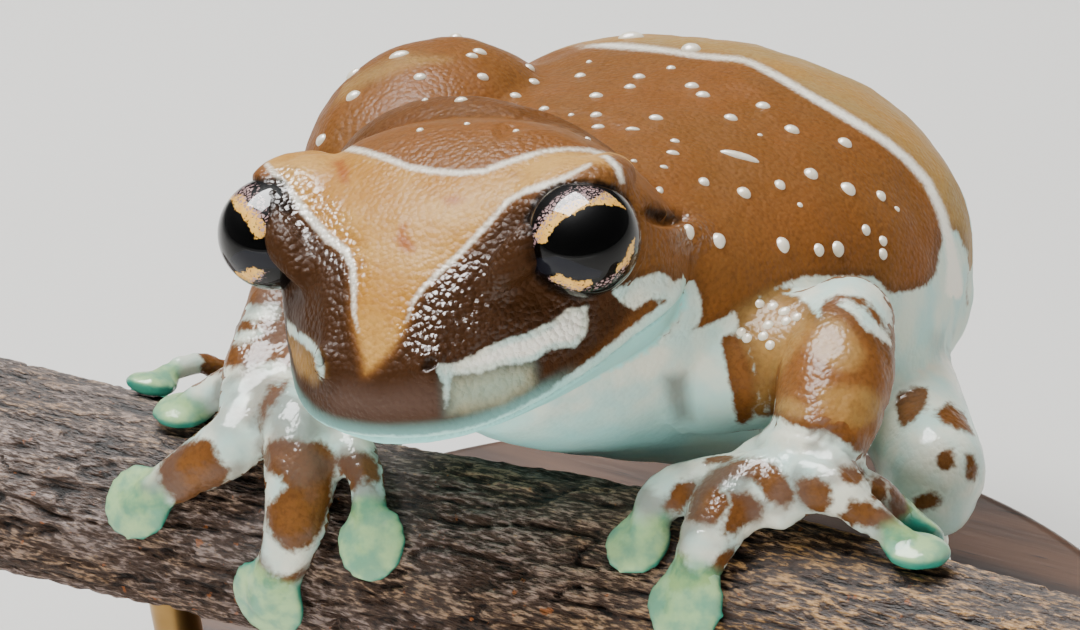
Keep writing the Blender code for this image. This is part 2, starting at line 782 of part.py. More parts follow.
def leg(side, label, collection):
    """Thigh, shank and foot of one side, not yet parted."""
    thigh = limb(f"thigh_{label}", shifted(THIGH, side), collection, sides=12)
    shank = limb(f"shank_{label}", shifted(SHANK, side), collection)
    pieces = [limb(f"tarsus_{label}", shifted(TARSUS, side), collection, rows=8, sides=10)]
    shift = 0.0 if side > 0 else RIGHT_HIND_SHIFT
    x_root, y_root, z_root = TOE_ROOTS
    for number, (along, angle) in enumerate(TOES[label], start=1):
        tip = perch_point(along, angle, PERCH_RADIUS + 0.9)
        bend = perch_point(along - side, angle - 24, PERCH_RADIUS + 3.4)
        root = np.array([side * (x_root + 0.9 * (number - 1)) + shift, y_root, z_root])
        points = [
            (*root, TOE_RADIUS + 0.1),
            (*(root * 0.45 + bend * 0.55 + np.array([0, 0, -0.8])), TOE_RADIUS),
            (*bend, TOE_RADIUS * 0.9),
            (*tip, TOE_RADIUS * 0.8),
        ]
        pieces += digit(f"toe_{label}_{number}", points, TOE_DISC, collection)
    return thigh, shank, join(f"foot_{label}", pieces)


# Materials

FINISHES = {
    "skin_brown": ("6E4630", 0.35, 0.0),
    "skin_pale": ("B9CFC6", 0.35, 0.0),
    "eye": ("14110F", 0.05, 0.0),
    "bark": ("6A5A50", 0.85, 0.0),
    "walnut": ("3A2519", 0.45, 0.0),
    "brass": ("B08D57", 0.30, 1.0),
}
NODE_FINISH = {
    "head": "skin_brown",
    "torso": "skin_brown",
    "lower_jaw": "skin_pale",
    "upper_arm": "skin_brown",
    "forearm": "skin_brown",
    "hand": "skin_pale",
    "thigh": "skin_pale",
    "shank": "skin_pale",
    "foot": "skin_pale",
    "eye": "eye",
    "perch": "bark",
    "stand_base": "walnut",
    "stand_rod": "brass",
}


def linear(value):
    """One sRGB channel from 0 to 1 as a linear value."""
    return value / 12.92 if value <= 0.04045 else ((value + 0.055) / 1.055) ** 2.4


def finish(target):
    """Gives the target its material and smooth shading."""
    base = target.name.removesuffix("_left").removesuffix("_right")
    colour, roughness, metallic = FINISHES[NODE_FINISH[base]]
    material = bpy.data.materials.new(target.name)
    material.use_nodes = True
    shader = material.node_tree.nodes["Principled BSDF"]
    channels = [linear(int(colour[i : i + 2], 16) / 255) for i in (0, 2, 4)]
    shader.inputs["Base Color"].default_value = (*channels, 1.0)
    shader.inputs["Roughness"].default_value = roughness
    shader.inputs["Metallic"].default_value = metallic
    target.data.materials.clear()
    target.data.materials.append(material)
    target.data.shade_smooth()
    target.data.set_sharp_from_angle(angle=math.radians(40))


def main():
    """Builds every node and parts those that touch."""
    for old in tuple(bpy.data.objects):
        bpy.data.objects.remove(old)
    collection = bpy.data.collections.new("milk_frog")
    bpy.context.scene.collection.children.link(collection)

    branch = perch(collection)
    head, jaw, torso = part_body(whole_body(collection), collection)
    eyes = [eye(1, "left", collection), eye(-1, "right", collection)]
    clear_of(head, eyes, collection)
    cut(head, [nostril_pit(1, collection), nostril_pit(-1, collection)])
    trunk_nodes = [torso, head, jaw]
    made = [branch, *eyes, *trunk_nodes]
    for node in trunk_nodes:
        clear_of(node, [branch], collection)
    for side, label in ((1, "left"), (-1, "right")):
        upper_arm, forearm, hand = arm(label, collection)
        thigh, shank, foot = leg(side, label, collection)
        clear_of(upper_arm, trunk_nodes, collection)
        clear_of(forearm, [torso, upper_arm], collection)
        clear_of(hand, [forearm, upper_arm, torso, head, jaw, branch], collection)
        clear_of(thigh, [torso, forearm], collection)
        clear_of(shank, [thigh, torso], collection)
        clear_of(foot, [shank, thigh, torso, branch, hand], collection)
        made += [upper_arm, forearm, hand, thigh, shank, foot]
    made.append(stand_base(collection))
    for side, label in ((1, "left"), (-1, "right")):
        made.append(clear_of(stand_rod(side, label, collection), [branch], collection))
    for node in made:
        finish(node)


main()
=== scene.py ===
"""Looks of a life-size Amazon milk frog that grips a cut branch on a small display stand.

The frog's own sizes are in millimetres from the point half way between its eyes: x to its left, y to its
tail, z up. MID_EYE puts that point in the model's frame, and every finished mesh is in metres.
"""

import logging
import math
from dataclasses import dataclass, field
from enum import Enum
from functools import partial
from typing import Callable, Sequence

import bmesh
import bpy
import numpy as np
from mathutils import Matrix, Vector
from mathutils.bvhtree import BVHTree
from mathutils.kdtree import KDTree
from numpy.typing import NDArray

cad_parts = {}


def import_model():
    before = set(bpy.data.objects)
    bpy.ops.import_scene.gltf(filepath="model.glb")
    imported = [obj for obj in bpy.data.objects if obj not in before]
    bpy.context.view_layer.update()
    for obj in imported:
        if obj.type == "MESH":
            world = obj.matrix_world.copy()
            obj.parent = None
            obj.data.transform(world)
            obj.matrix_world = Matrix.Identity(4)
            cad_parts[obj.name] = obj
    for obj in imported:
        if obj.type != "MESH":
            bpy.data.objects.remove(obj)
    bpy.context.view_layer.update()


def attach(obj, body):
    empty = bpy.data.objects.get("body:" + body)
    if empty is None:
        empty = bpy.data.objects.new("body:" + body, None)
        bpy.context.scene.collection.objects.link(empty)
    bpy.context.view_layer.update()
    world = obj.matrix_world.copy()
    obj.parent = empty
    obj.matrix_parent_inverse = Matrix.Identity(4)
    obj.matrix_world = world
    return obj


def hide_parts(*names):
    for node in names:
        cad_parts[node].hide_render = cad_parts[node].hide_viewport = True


Array = NDArray[np.float64]
Whole = NDArray[np.int64]
Mask = NDArray[np.bool_]
Row = tuple[float, ...]
Rows = tuple[Row, ...]
Link = bpy.types.NodeSocket

LOG = logging.getLogger("milk_frog")
MM = 0.001
MID_EYE = np.array([0.0, -20.0, 57.5])
# A point's mirrored twin on the trunk has its x turned round and moved by this much
TWIN_SHIFT = -2.4
# Stands for a distance well outside a marking
FAR_OFF = -9.0
# Large odd numbers that scatter the noise's lattice cells along x, y, z and seed, and then once more
SCATTER = (73856093, 19349663, 83492791, 2654435761, 1274126177)


class Side(Enum):
    """A side of the frog, with the sign of its x."""

    LEFT = 1
    RIGHT = -1

    @property
    def word(self) -> str:
        """The side's name as the nodes spell it."""
        return self.name.lower()


# Curves, frames and noise


def unit(vectors: Array) -> Array:
    """Vectors of length one along the given ones."""
    return vectors / np.maximum(np.linalg.norm(vectors, axis=-1, keepdims=True), 1e-12)


def full_turn(count: int) -> Array:
    """Even angles round a full turn."""
    return np.linspace(0, 2 * math.pi, count, endpoint=False)


def ramp(low: float, high: float, value: Array) -> Array:
    """0 below low, 1 above high and the cubic 3t^2 - 2t^3 between them."""
    part = np.clip((value - low) / (high - low), 0.0, 1.0)
    return part * part * (3.0 - 2.0 * part)


def table_at(places: Array, table: Sequence[Row]) -> Array:
    """Reads a station table along monotone cubic curves.

    Each column is a Hermite cubic between stations, with the harmonic mean of the two neighbouring
    slopes as the tangent, or none where they differ in sign.

    Args:
        places: Where to read, in the unit of the table's first column.
        table: Rows of a place and its values.

    Returns:
        One row of values for each place.
    """
    rows = np.array(table, float)
    knots, values = rows[:, 0], rows[:, 1:]
    steps = np.diff(knots)[:, None]
    slopes = np.diff(values, axis=0) / steps
    tangents = np.zeros_like(values)
    tangents[0], tangents[-1] = slopes[0], slopes[-1]
    before, after = slopes[:-1], slopes[1:]
    same = before * after > 0
    first, second = 2 * steps[1:] + steps[:-1], steps[1:] + 2 * steps[:-1]
    mean = (first + second) / (first / np.where(same, before, 1.0) + second / np.where(same, after, 1.0))
    tangents[1:-1] = np.where(same, mean, 0.0)
    places = np.atleast_1d(np.asarray(places, float))
    cell = np.clip(np.searchsorted(knots, places) - 1, 0, len(knots) - 2)
    t = ((places - knots[cell]) / steps[cell, 0])[:, None]
    step = steps[cell]
    return (
        (2 * t**3 - 3 * t**2 + 1) * values[cell]
        + (t**3 - 2 * t**2 + t) * step * tangents[cell]
        + (3 * t**2 - 2 * t**3) * values[cell + 1]
        + (t**3 - t**2) * step * tangents[cell + 1]
    )


def curve_through(points: Sequence[Row], count: int) -> Array:
    """A Catmull-Rom curve through points, read at even steps of chord length.

    Args:
        points: Rows of x, y, z and any further values that run along.
        count: How many rows to return.

    Returns:
        The curve's rows.
    """
    knots = np.array(points, float)
    knots = np.vstack([2 * knots[0] - knots[1], knots, 2 * knots[-1] - knots[-2]])
    chords = np.linalg.norm(np.diff(knots[1:-1, :3], axis=0), axis=1)
    lengths = np.concatenate([[0.0], np.cumsum(chords)])
    places = np.linspace(0, lengths[-1], count)
    cell = np.clip(np.searchsorted(lengths, places, side="right") - 1, 0, len(knots) - 4)
    t = ((places - lengths[cell]) / chords[cell])[:, None]
    a, b, c, d = knots[cell], knots[cell + 1], knots[cell + 2], knots[cell + 3]
    return 0.5 * (
        2 * b + (c - a) * t + (2 * a - 5 * b + 4 * c - d) * t**2 + (3 * b - a - 3 * c + d) * t**3
    )


def cloud(points: Array, size: float, seed: int = 0, octaves: int = 1) -> Array:
    """Smooth value noise about -1 to 1.

    Random values on a cubic lattice of the given size are blended by 3t^2 - 2t^3 along each axis, and
    each further octave has half the size and half the height.

    Args:
        points: Places, one row each.
        size: The lattice's spacing, in the unit of the points.
        seed: Picks the lattice's values.
        octaves: How many layers are added.

    Returns:
        One value for each place.
    """
    total = np.zeros(len(points))
    height = 1.0
    by_x, by_y, by_z, by_seed, again = SCATTER
    for octave in range(octaves):
        scaled = points / size * 2**octave + 17.3 * octave
        low = np.floor(scaled).astype(np.int64)
        part = scaled - low
        part = part * part * (3.0 - 2.0 * part)
        layer = np.zeros(len(points))
        for corner in range(8):
            shift = np.array([corner & 1, corner >> 1 & 1, corner >> 2 & 1])
            weight = np.prod(np.where(shift, part, 1.0 - part), axis=1)
            x, y, z = (low + shift).T
            mixed = x * by_x ^ y * by_y ^ z * by_z ^ (seed + octave) * by_seed
            mixed = (mixed ^ mixed >> 13) * again & 0xFFFFFFFF
            layer += weight * ((mixed ^ mixed >> 16 & 0xFFFF) % 65536 / 32767.5 - 1.0)
        total += height * layer
        height *= 0.5
    return total


def axes_along(direction: Array, hint: Sequence[float] = (0.0, 0.0, 1.0)) -> Array:
    """Three axes at right angles as rows, the last of them along the direction."""
    last = unit(np.asarray(direction, float))
    first = unit(np.cross(np.asarray(hint, float), last))
    return np.stack([first, np.cross(last, first), last])


# Meshes


@dataclass
class Surface:
    """A closed surface of rings: points, four-sided faces and three-sided caps."""

    points: Array
    quads: Whole
    triangles: Whole
    along: Array = field(default_factory=lambda: np.zeros(0))


def through_rings(rings: Array, closed_path: bool = False) -> Surface:
    """A surface P(u, v) through rings: u runs from ring to ring and v round each of them.

    Args:
        rings: Points with the shape rings, sides, 3.
        closed_path: Whether the last ring joins the first, as on a hoop.

    Returns:
        The surface, with a centre point at each end of an open path.
    """
    rows, sides, _ = rings.shape
    number = np.arange(rows * sides).reshape(rows, sides)
    near = np.vstack([number, number[:1]]) if closed_path else number
    a, b = near[:-1], near[1:]
    quads = np.stack([a, np.roll(a, -1, 1), np.roll(b, -1, 1), b], -1).reshape(-1, 4)
    along = np.repeat(np.linspace(0, 1, rows), sides)
    points = rings.reshape(-1, 3)
    triangles = np.zeros((0, 3), np.int64)
    if not closed_path:
        points = np.vstack([points, rings[0].mean(0), rings[-1].mean(0)])
        along = np.concatenate([along, [0.0, 1.0]])
        first, last, total = number[0], number[-1], rows * sides
        low = np.stack([np.roll(first, -1), first, np.full(sides, total)], -1)
        high = np.stack([last, np.roll(last, -1), np.full(sides, total + 1)], -1)
        triangles = np.vstack([low, high])
    return Surface(points, quads, triangles, along)


def mesh_of(name: str, surfaces: Sequence[Surface]) -> bpy.types.Mesh:
    """One mesh of several surfaces, turned to metres in the model's frame.

    Args:
        name: The mesh's name.
        surfaces: Surfaces in millimetres from the middle between the eyes.

    Returns:
        The mesh, with its faces turned out.
    """
    starts = np.cumsum([0] + [len(one.points) for one in surfaces])[:-1]
    points = (np.vstack([one.points for one in surfaces]) + MID_EYE) * MM
    quads = np.vstack([one.quads + start for one, start in zip(surfaces, starts)])
    triangles = np.vstack([one.triangles + start for one, start in zip(surfaces, starts)])
    mesh = bpy.data.meshes.new(name)
    mesh.vertices.add(len(points))
    mesh.vertices.foreach_set("co", points.ravel())
    mesh.loops.add(quads.size + triangles.size)
    mesh.loops.foreach_set("vertex_index", np.concatenate([quads.ravel(), triangles.ravel()]))
    mesh.polygons.add(len(quads) + len(triangles))
    sizes = np.concatenate([np.full(len(quads), 4), np.full(len(triangles), 3)])
    mesh.polygons.foreach_set("loop_start", np.concatenate([[0], np.cumsum(sizes)[:-1]]))
    mesh.update(calc_edges=True)
    mesh.validate()
    shape = bmesh.new()
    shape.from_mesh(mesh)
    bmesh.ops.recalc_face_normals(shape, faces=shape.faces)
    shape.to_mesh(mesh)
    shape.free()
    return mesh


def piece(name: str, mesh: bpy.types.Mesh, material: bpy.types.Material) -> bpy.types.Object:
    """Puts a finished mesh in the scene with its material and smooth shading."""
    made = bpy.data.objects.new(name, mesh)
    bpy.context.scene.collection.objects.link(made)
    mesh.materials.clear()
    mesh.materials.append(material)
    mesh.shade_smooth()
    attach(made, "root")
    return made


def places_of(mesh: bpy.types.Mesh) -> Array:
    """The mesh's points in millimetres from the middle between the eyes."""
    flat = np.empty(len(mesh.vertices) * 3, np.float32)
    mesh.vertices.foreach_get("co", flat)
    return flat.reshape(-1, 3).astype(float) / MM - MID_EYE


def normals_of(mesh: bpy.types.Mesh) -> Array:
    """The mesh's point normals."""
    flat = np.empty(len(mesh.vertices) * 3, np.float32)
    mesh.vertex_normals.foreach_get("vector", flat)
    return flat.reshape(-1, 3).astype(float)


def put_places(mesh: bpy.types.Mesh, places: Array) -> None:
    """Writes points in millimetres from the middle between the eyes back to the mesh."""
    mesh.vertices.foreach_set("co", ((places + MID_EYE) * MM).astype(np.float32).ravel())
    mesh.update()


def put_values(mesh: bpy.types.Mesh, name: str, values: Array) -> None:
    """Stores one number for each point as a named attribute."""
    layer = mesh.attributes.new(name, "FLOAT", "POINT")
    layer.data.foreach_set("value", values.astype(np.float32))


def relaxed(places: Array, edges: Whole, weight: Array, rounds: int, keep: float = 0.9) -> Array:
    """Draws each point towards the mean of its neighbours, and then part of the way back.

    The step back keeps thin forms from shrinking.

    Args:
        places: The points.
        edges: Pairs of neighbouring points.
        weight: How far each point goes in a round, from 0 to 1.
        rounds: How many times this is done.
        keep: The step back as a part of the step in.

    Returns:
        The smoothed points.
    """
    count = len(places)
    first, second = edges[:, 0], edges[:, 1]
    near = np.maximum(np.bincount(edges.ravel(), minlength=count), 1)[:, None]
    places = places.copy()
    for number in range(2 * rounds):
        step_size = -keep if number % 2 else 1.0
        sums = [
            np.bincount(first, line[second], count) + np.bincount(second, line[first], count)
            for line in places.T
        ]
        places += step_size * weight[:, None] * (np.stack(sums, -1) / near - places)
    return places


def edges_of(mesh: bpy.types.Mesh) -> Whole:
    """The mesh's edges as pairs of point numbers."""
    flat = np.empty(len(mesh.edges) * 2, np.int32)
    mesh.edges.foreach_get("vertices", flat)
    return flat.reshape(-1, 2).astype(np.int64)


# The photograph's camera


@dataclass(frozen=True)
class PhotoCamera:
    """The camera of the photograph: 1080 by 630 pixels, rolled a little, looking down on the frog."""

    rise: float = 32.0
    roll: float = 7.0
    branch_slope: float = -0.23
    distance: float = 240.0
    scale: float = 15.5
    middle: tuple[float, float] = (425.0, 236.0)
    width: float = 1080.0
    height: float = 630.0
    sensor: float = 36.0

    def axes(self) -> Array:
        """Rows right, up and back of the camera in the model's axes.

        The world's up is tilted by the roll and the rise, and the branch, which is the model's x, runs
        along the slope that it has in the picture.
        """
        rise, roll = np.radians([self.rise, self.roll])
        up = np.array([-np.sin(roll) * np.cos(rise), np.cos(roll) * np.cos(rise), np.sin(rise)])
        across = unit(np.array([1.0, self.branch_slope, -(up[0] + self.branch_slope * up[1]) / up[2]]))
        return np.stack([across, np.cross(up, across), up]).T

    def place(self) -> Array:
        """Where the camera stands, in millimetres from the middle between the eyes."""
        right, up, back = self.axes()
        shift_x = (self.middle[0] - self.width / 2) / self.scale
        shift_y = -(self.middle[1] - self.height / 2) / self.scale
        return back * self.distance - right * shift_x - up * shift_y

    def project(self, points: Array) -> Array:
        """The picture's pixels of points: the focal length times x over depth, and likewise for y."""
        right, up, back = self.axes()
        away = points - self.place()
        depth = -(away @ back)
        focal = self.distance * self.scale
        x = self.width / 2 + focal * (away @ right) / depth
        y = self.height / 2 - focal * (away @ up) / depth
        return np.stack([x, y], -1)

    def rays(self, pixels: Array) -> Array:
        """Directions from the camera through pixels of the picture."""
        right, up, back = self.axes()
        focal = self.distance * self.scale
        x = (pixels[:, :1] - self.width / 2) / focal
        y = (self.height / 2 - pixels[:, 1:]) / focal
        return unit(x * right + y * up - back)

    def facing(self, points: Array, normals: Array) -> Array:
        """How squarely each point faces the camera, from -1 to 1."""
        return np.sum(unit(self.place() - points) * normals, axis=1)

    def install(self) -> None:
        """Makes the scene's camera."""
        data = bpy.data.cameras.new("photo_camera")
        data.sensor_width = self.sensor
        data.lens = self.distance * self.scale / self.width * self.sensor
        data.clip_start = 0.01
        data.clip_end = 20.0
        camera = bpy.data.objects.new("photo_camera", data)
        place = Matrix(self.axes().T.tolist()).to_4x4()
        place.translation = Vector((self.place() + MID_EYE) * MM)
        camera.matrix_world = place
        bpy.context.scene.collection.objects.link(camera)
        bpy.context.scene.camera = camera


CAMERA = PhotoCamera()


# Finishes


def linear(colour: str) -> tuple[float, float, float, float]:
    """A colour given as sRGB hex, as linear red, green, blue and alpha.

    Args:
        colour: Six hex digits.

    Returns:
        The linear values, with an alpha of 1.
    """
    values = np.array([int(colour[i : i + 2], 16) for i in (0, 2, 4)]) / 255.0
    red, green, blue = np.where(values <= 0.04045, values / 12.92, ((values + 0.055) / 1.055) ** 2.4)
    return (float(red), float(green), float(blue), 1.0)


def per(size: float) -> float:
    """The scale of a texture on Object coordinates whose lumps are about size millimetres across."""
    return 1.0 / (size * MM)


Value = float | int | str | tuple[float, ...] | Link
COLOUR = {"output": 2, "data_type": "RGBA"}
SMOOTH = {"interpolation_type": "SMOOTHSTEP"}


def add(
    material: bpy.types.Material | bpy.types.World,
    kind: str,
    inputs: dict[str | int, Value] | None = None,
    output: str | int = 0,
    **settings: object,
) -> Link:
    """Adds one node with its settings, values and links.

    Args:
        material: The material or world whose tree gets the node.
        kind: Blender's name of the node's type, without the words that all of them start with.
        inputs: Values or sockets for the node's inputs, by name or number.
        output: The name or number of the output to return.
        settings: The node's own properties.

    Returns:
        One of the new node's outputs.
    """
    tree = material.node_tree
    node = tree.nodes.new(f"ShaderNode{kind}")
    for name, setting in settings.items():
        setattr(node, name, setting)
    for key, value in (inputs or {}).items():
        if isinstance(value, bpy.types.NodeSocket):
            tree.links.new(value, node.inputs[key])
        else:
            node.inputs[key].default_value = value
    return node.outputs[output]


def blank(name: str) -> tuple[bpy.types.Material, Callable[..., Link], Link]:
    """A node material that holds nothing but its output, its own `add`, and Object coordinates."""
    material = bpy.data.materials.new(name)
    material.use_nodes = True
    material.node_tree.nodes.remove(material.node_tree.nodes["Principled BSDF"])
    node = partial(add, material)
    return material, node, node("TexCoord", output="Object")


def close(material: bpy.types.Material, shader: Link) -> bpy.types.Material:
    """Joins the shader to the material's output."""
    material.node_tree.links.new(shader, material.node_tree.nodes["Material Output"].inputs[0])
    return material


# Living skin of a tree frog: painted from outlines of the real markings, whose edges are frayed by noise,
# with painted shade in its folds and on the nape, then a bump of 0.4 mm granules under a thin coat of mucus.
# It gives the eye the small wet glints.
@dataclass(frozen=True)
class MoistSkin:
    """Living amphibian skin: thin, wet and granular, brown or aqua-white, with a coat of mucus."""

    brown: str = "774D24"
    dark_brown: str = "341E0E"
    rust: str = "804C20"
    fleck: str = "8A3E10"
    tan: str = "A9752C"
    light_tan: str = "C19550"
    band: str = "9A7E4C"
    white: str = "F4EFDF"
    pale: str = "B6D2C8"
    milk: str = "DDDCC8"
    aqua: str = "9CE2DA"
    haze: str = "604C42"
    mint: str = "5A9670"
    light_mint: str = "98BE7C"
    pad: str = "0F7D6B"
    # Near-black of the painted shade in the nostrils, round the eyes, along the mouth and in the cleft
    # behind the ear
    fold: str = "120A05"
    granule: float = 0.42
    marks: tuple[str, ...] = (
        "deep", "tan", "band", "aqua", "pale", "line", "haze", "wash", "mint", "pad", "fold", "grain", "wet",
        "fleck",
    )

    def build(self) -> bpy.types.Material:
        """Mixes the skin's colours by its marking attributes and gives it granules and a wet gloss.

        Returns:
            The material.
        """
        material, node, here = blank("moist_granular_skin")
        mark = {name: node("Attribute", output="Fac", attribute_name=name) for name in self.marks}

        # Two noises about 0 fray the edges of every marking
        ragged = node("TexNoise", {"Vector": here, "Scale": per(0.9), "Detail": 3.0})
        ragged = node("Math", {0: ragged, 1: 0.44, 2: -0.22}, operation="MULTIPLY_ADD")
        fine = node("TexNoise", {"Vector": here, "Scale": per(0.3), "Detail": 2.0})
        fine = node("Math", {0: fine, 1: 0.24, 2: -0.12}, operation="MULTIPLY_ADD")
        wander = node("Math", {0: ragged, 1: fine})
        clouds = node("TexNoise", {"Vector": here, "Scale": per(5.5), "Detail": 3.0})
        clouds = node("MapRange", {0: clouds, 1: 0.3, 2: 0.7}, **SMOOTH)
        milky = node("TexNoise", {"Vector": here, "Scale": per(3.2), "Detail": 2.0})
        milky = node("MapRange", {0: milky, 1: 0.3, 2: 0.7}, **SMOOTH)
        flecks = node("TexNoise", {"Vector": here, "Scale": per(0.32), "Detail": 3.0})
        flecks = node("MapRange", {0: flecks, 1: 0.4, 2: 0.75, 4: 0.32}, **SMOOTH)

        # Brown of the saddle, darkened in flecks, before the eye and, as painted shade, on the nape
        half = node("Math", {0: clouds, 1: 0.5}, operation="MULTIPLY")
        brown = node("Mix", {0: half, 6: linear(self.brown), 7: linear(self.rust)}, **COLOUR)
        for amount in (flecks, mark["deep"]):
            brown = node("Mix", {0: amount, 6: brown, 7: linear(self.dark_brown)}, **COLOUR)

        # Tan of the crown, with a few rusty spots
        spots = node("TexNoise", {"Vector": here, "Scale": per(2.6), "Detail": 2.0})
        spots = node("MapRange", {0: spots, 1: 0.68, 2: 0.8, 4: 0.5}, **SMOOTH)
        tan = node("Mix", {0: clouds, 6: linear(self.tan), 7: linear(self.light_tan)}, **COLOUR)
        for amount in (flecks, spots):
            tan = node("Mix", {0: amount, 6: tan, 7: linear(self.rust)}, **COLOUR)
        blot = node("Math", {0: mark["fleck"], 1: wander})
        blot = node("MapRange", {0: blot, 1: -0.4, 2: 0.4, 4: 0.8}, **SMOOTH)
        tan = node("Mix", {0: blot, 6: tan, 7: linear(self.fleck)}, **COLOUR)
        reach = node("Math", {0: mark["tan"], 1: fine})
        is_tan = node("MapRange", {0: reach, 1: -0.35, 2: 0.45}, **SMOOTH)
        back = node("Mix", {0: is_tan, 6: brown, 7: tan}, **COLOUR)

        # Lighter band between the saddle and the flank
        band = node("Mix", {0: half, 6: linear(self.band), 7: linear(self.tan)}, **COLOUR)
        band = node("Mix", {0: flecks, 6: band, 7: linear(self.brown)}, **COLOUR)
        reach = node("Math", {0: mark["band"], 1: ragged})
        is_band = node("MapRange", {0: reach, 1: -0.6, 2: 0.6}, **SMOOTH)
        back = node("Mix", {0: is_band, 6: back, 7: band}, **COLOUR)

        # Milky skin that turns aqua where it is thin, with a darker brown at its edge
        pale = node("Mix", {0: milky, 6: linear(self.pale), 7: linear(self.milk)}, **COLOUR)
        pale = node("Mix", {0: mark["aqua"], 6: pale, 7: linear(self.aqua)}, **COLOUR)
        reach = node("Math", {0: mark["pale"], 1: wander})
        is_pale = node("MapRange", {0: reach, 1: -0.14, 2: 0.16}, **SMOOTH)
        rim = node("MapRange", {0: reach, 1: -0.8, 2: -0.1, 4: 0.35}, **SMOOTH)
        back = node("Mix", {0: rim, 6: back, 7: linear(self.dark_brown)}, **COLOUR)
        skin = node("Mix", {0: is_pale, 6: back, 7: pale}, **COLOUR)

        # White lines, the far one widened into a painted highlight, grey haze, thin skin over the jaw, the
        # discs' mint tops and turquoise pads, and painted shade in the folds
        reach = node("Math", {0: mark["line"], 1: fine})
        is_line = node("MapRange", {0: reach, 1: -0.16, 2: 0.24}, **SMOOTH)
        for amount, colour in ((is_line, self.white), (mark["haze"], self.haze), (mark["wash"], self.aqua)):
            skin = node("Mix", {0: amount, 6: skin, 7: linear(colour)}, **COLOUR)
        mottle = node("TexNoise", {"Vector": here, "Scale": per(1.5), "Detail": 3.0})
        mottle = node("MapRange", {0: mottle, 1: 0.35, 2: 0.65}, **SMOOTH)
        mint = node("Mix", {0: mottle, 6: linear(self.mint), 7: linear(self.light_mint)}, **COLOUR)
        for name, top in (("mint", mint), ("pad", linear(self.pad)), ("fold", linear(self.fold))):
            skin = node("Mix", {0: mark[name], 6: skin, 7: top}, **COLOUR)

        # Granules: each stands highest at the middle of its cell, so the cell's distance is inverted
        cells = node("TexVoronoi", {"Vector": here, "Scale": per(self.granule)}, "Distance")
        soft = node("TexNoise", {"Vector": here, "Scale": per(0.2), "Detail": 2.0})
        relief = node("Math", {0: soft, 1: 0.35, 2: cells}, operation="MULTIPLY_ADD")
        relief = node("Math", {0: relief, 1: mark["grain"]}, operation="MULTIPLY")
        bump = node("Bump", {"Strength": 1.0, "Distance": 0.00012, "Height": relief}, invert=True)
        wet = node("TexNoise", {"Vector": here, "Scale": per(2.2), "Detail": 2.0})
        dull = node("MapRange", {0: wet, 1: 0.3, 2: 0.7, 3: 0.40, 4: 0.56})
        shader = node(
            "BsdfPrincipled",
            {
                "Base Color": skin, "Roughness": dull, "Normal": bump, "IOR": 1.38,
                "Specular IOR Level": 0.1, "Subsurface Weight": 0.1,
                "Subsurface Radius": (0.6, 0.4, 0.25), "Subsurface Scale": 0.001,
                "Coat Weight": mark["wet"], "Coat Roughness": 0.1, "Coat IOR": 1.42, "Coat Normal": bump,
            },
        )
        return close(material, shader)


# Eyeball under a wet cornea: a black ball whose gold and netted parts come from outlines of the real iris,
# and whose lower pupil holds a painted reflection, under a clear coat. It gives the eye a deep black with
# one sharp reflection of the lamp.
@dataclass(frozen=True)
class WetEye:
    """A frog's eyeball under its wet cornea: black, with a broken gold ring and dark net veins."""

    gold: str = "D68A12"
    pale_gold: str = "F4CC70"
    speck: str = "3A2008"
    net: str = "CFAEA8"
    dark_net: str = "5E3C4A"
    black: str = "010101"
    veil: str = "10121A"

    def build(self) -> bpy.types.Material:
        """Paints the broken gold ring from the iris attributes, frayed by noise.

        Returns:
            The material.
        """
        material, node, here = blank("wet_cornea_over_gold_iris")
        names = ("gold", "iris_net", "veil")
        mark = {name: node("Attribute", output="Fac", attribute_name=name) for name in names}
        frayed = node("TexNoise", {"Vector": here, "Scale": per(0.22), "Detail": 4.0})
        frayed = node("Math", {0: frayed, 1: 0.5, 2: -0.25}, operation="MULTIPLY_ADD")
        reach = node("Math", {0: mark["gold"], 1: frayed})
        is_gold = node("MapRange", {0: reach, 1: -0.03, 2: 0.05}, **SMOOTH)

        # Veins run along the borders of cells 0.3 mm wide
        cells = {"Vector": here, "Scale": per(0.3)}
        borders = node("TexVoronoi", cells, "Distance", feature="DISTANCE_TO_EDGE")
        veins = node("Math", {0: borders, 1: frayed})
        veins = node("MapRange", {0: veins, 1: 0.09, 2: 0.2}, **SMOOTH)
        reach = node("Math", {0: mark["iris_net"], 1: frayed})
        in_net = node("MapRange", {0: reach, 1: -0.05, 2: 0.1}, **SMOOTH)
        is_net = node("Math", {0: in_net, 1: veins}, operation="MULTIPLY")

        glow = node("TexNoise", {"Vector": here, "Scale": per(0.7), "Detail": 2.0})
        gold = node("Mix", {0: glow, 6: linear(self.gold), 7: linear(self.pale_gold)}, **COLOUR)
        specks = node("TexNoise", {"Vector": here, "Scale": per(0.16), "Detail": 2.0})
        specks = node("MapRange", {0: specks, 1: 0.6, 2: 0.68}, **SMOOTH)
        gold = node("Mix", {0: specks, 6: gold, 7: linear(self.speck)}, **COLOUR)
        net = node("Mix", {0: glow, 6: linear(self.net), 7: linear(self.dark_net)}, **COLOUR)
        # A painted reflection of the dark room dulls the lower part of the pupil
        black = node("Mix", {0: mark["veil"], 6: linear(self.black), 7: linear(self.veil)}, **COLOUR)
        iris = node("Mix", {0: is_gold, 6: black, 7: gold}, **COLOUR)
        iris = node("Mix", {0: is_net, 6: iris, 7: net}, **COLOUR)
        shader = node(
            "BsdfPrincipled",
            {
                "Base Color": iris, "Roughness": 0.45, "Specular IOR Level": 0.05,
                "Coat Weight": 1.0, "Coat Roughness": 0.01, "Coat IOR": 1.36,
            },
        )
        return close(material, shader)


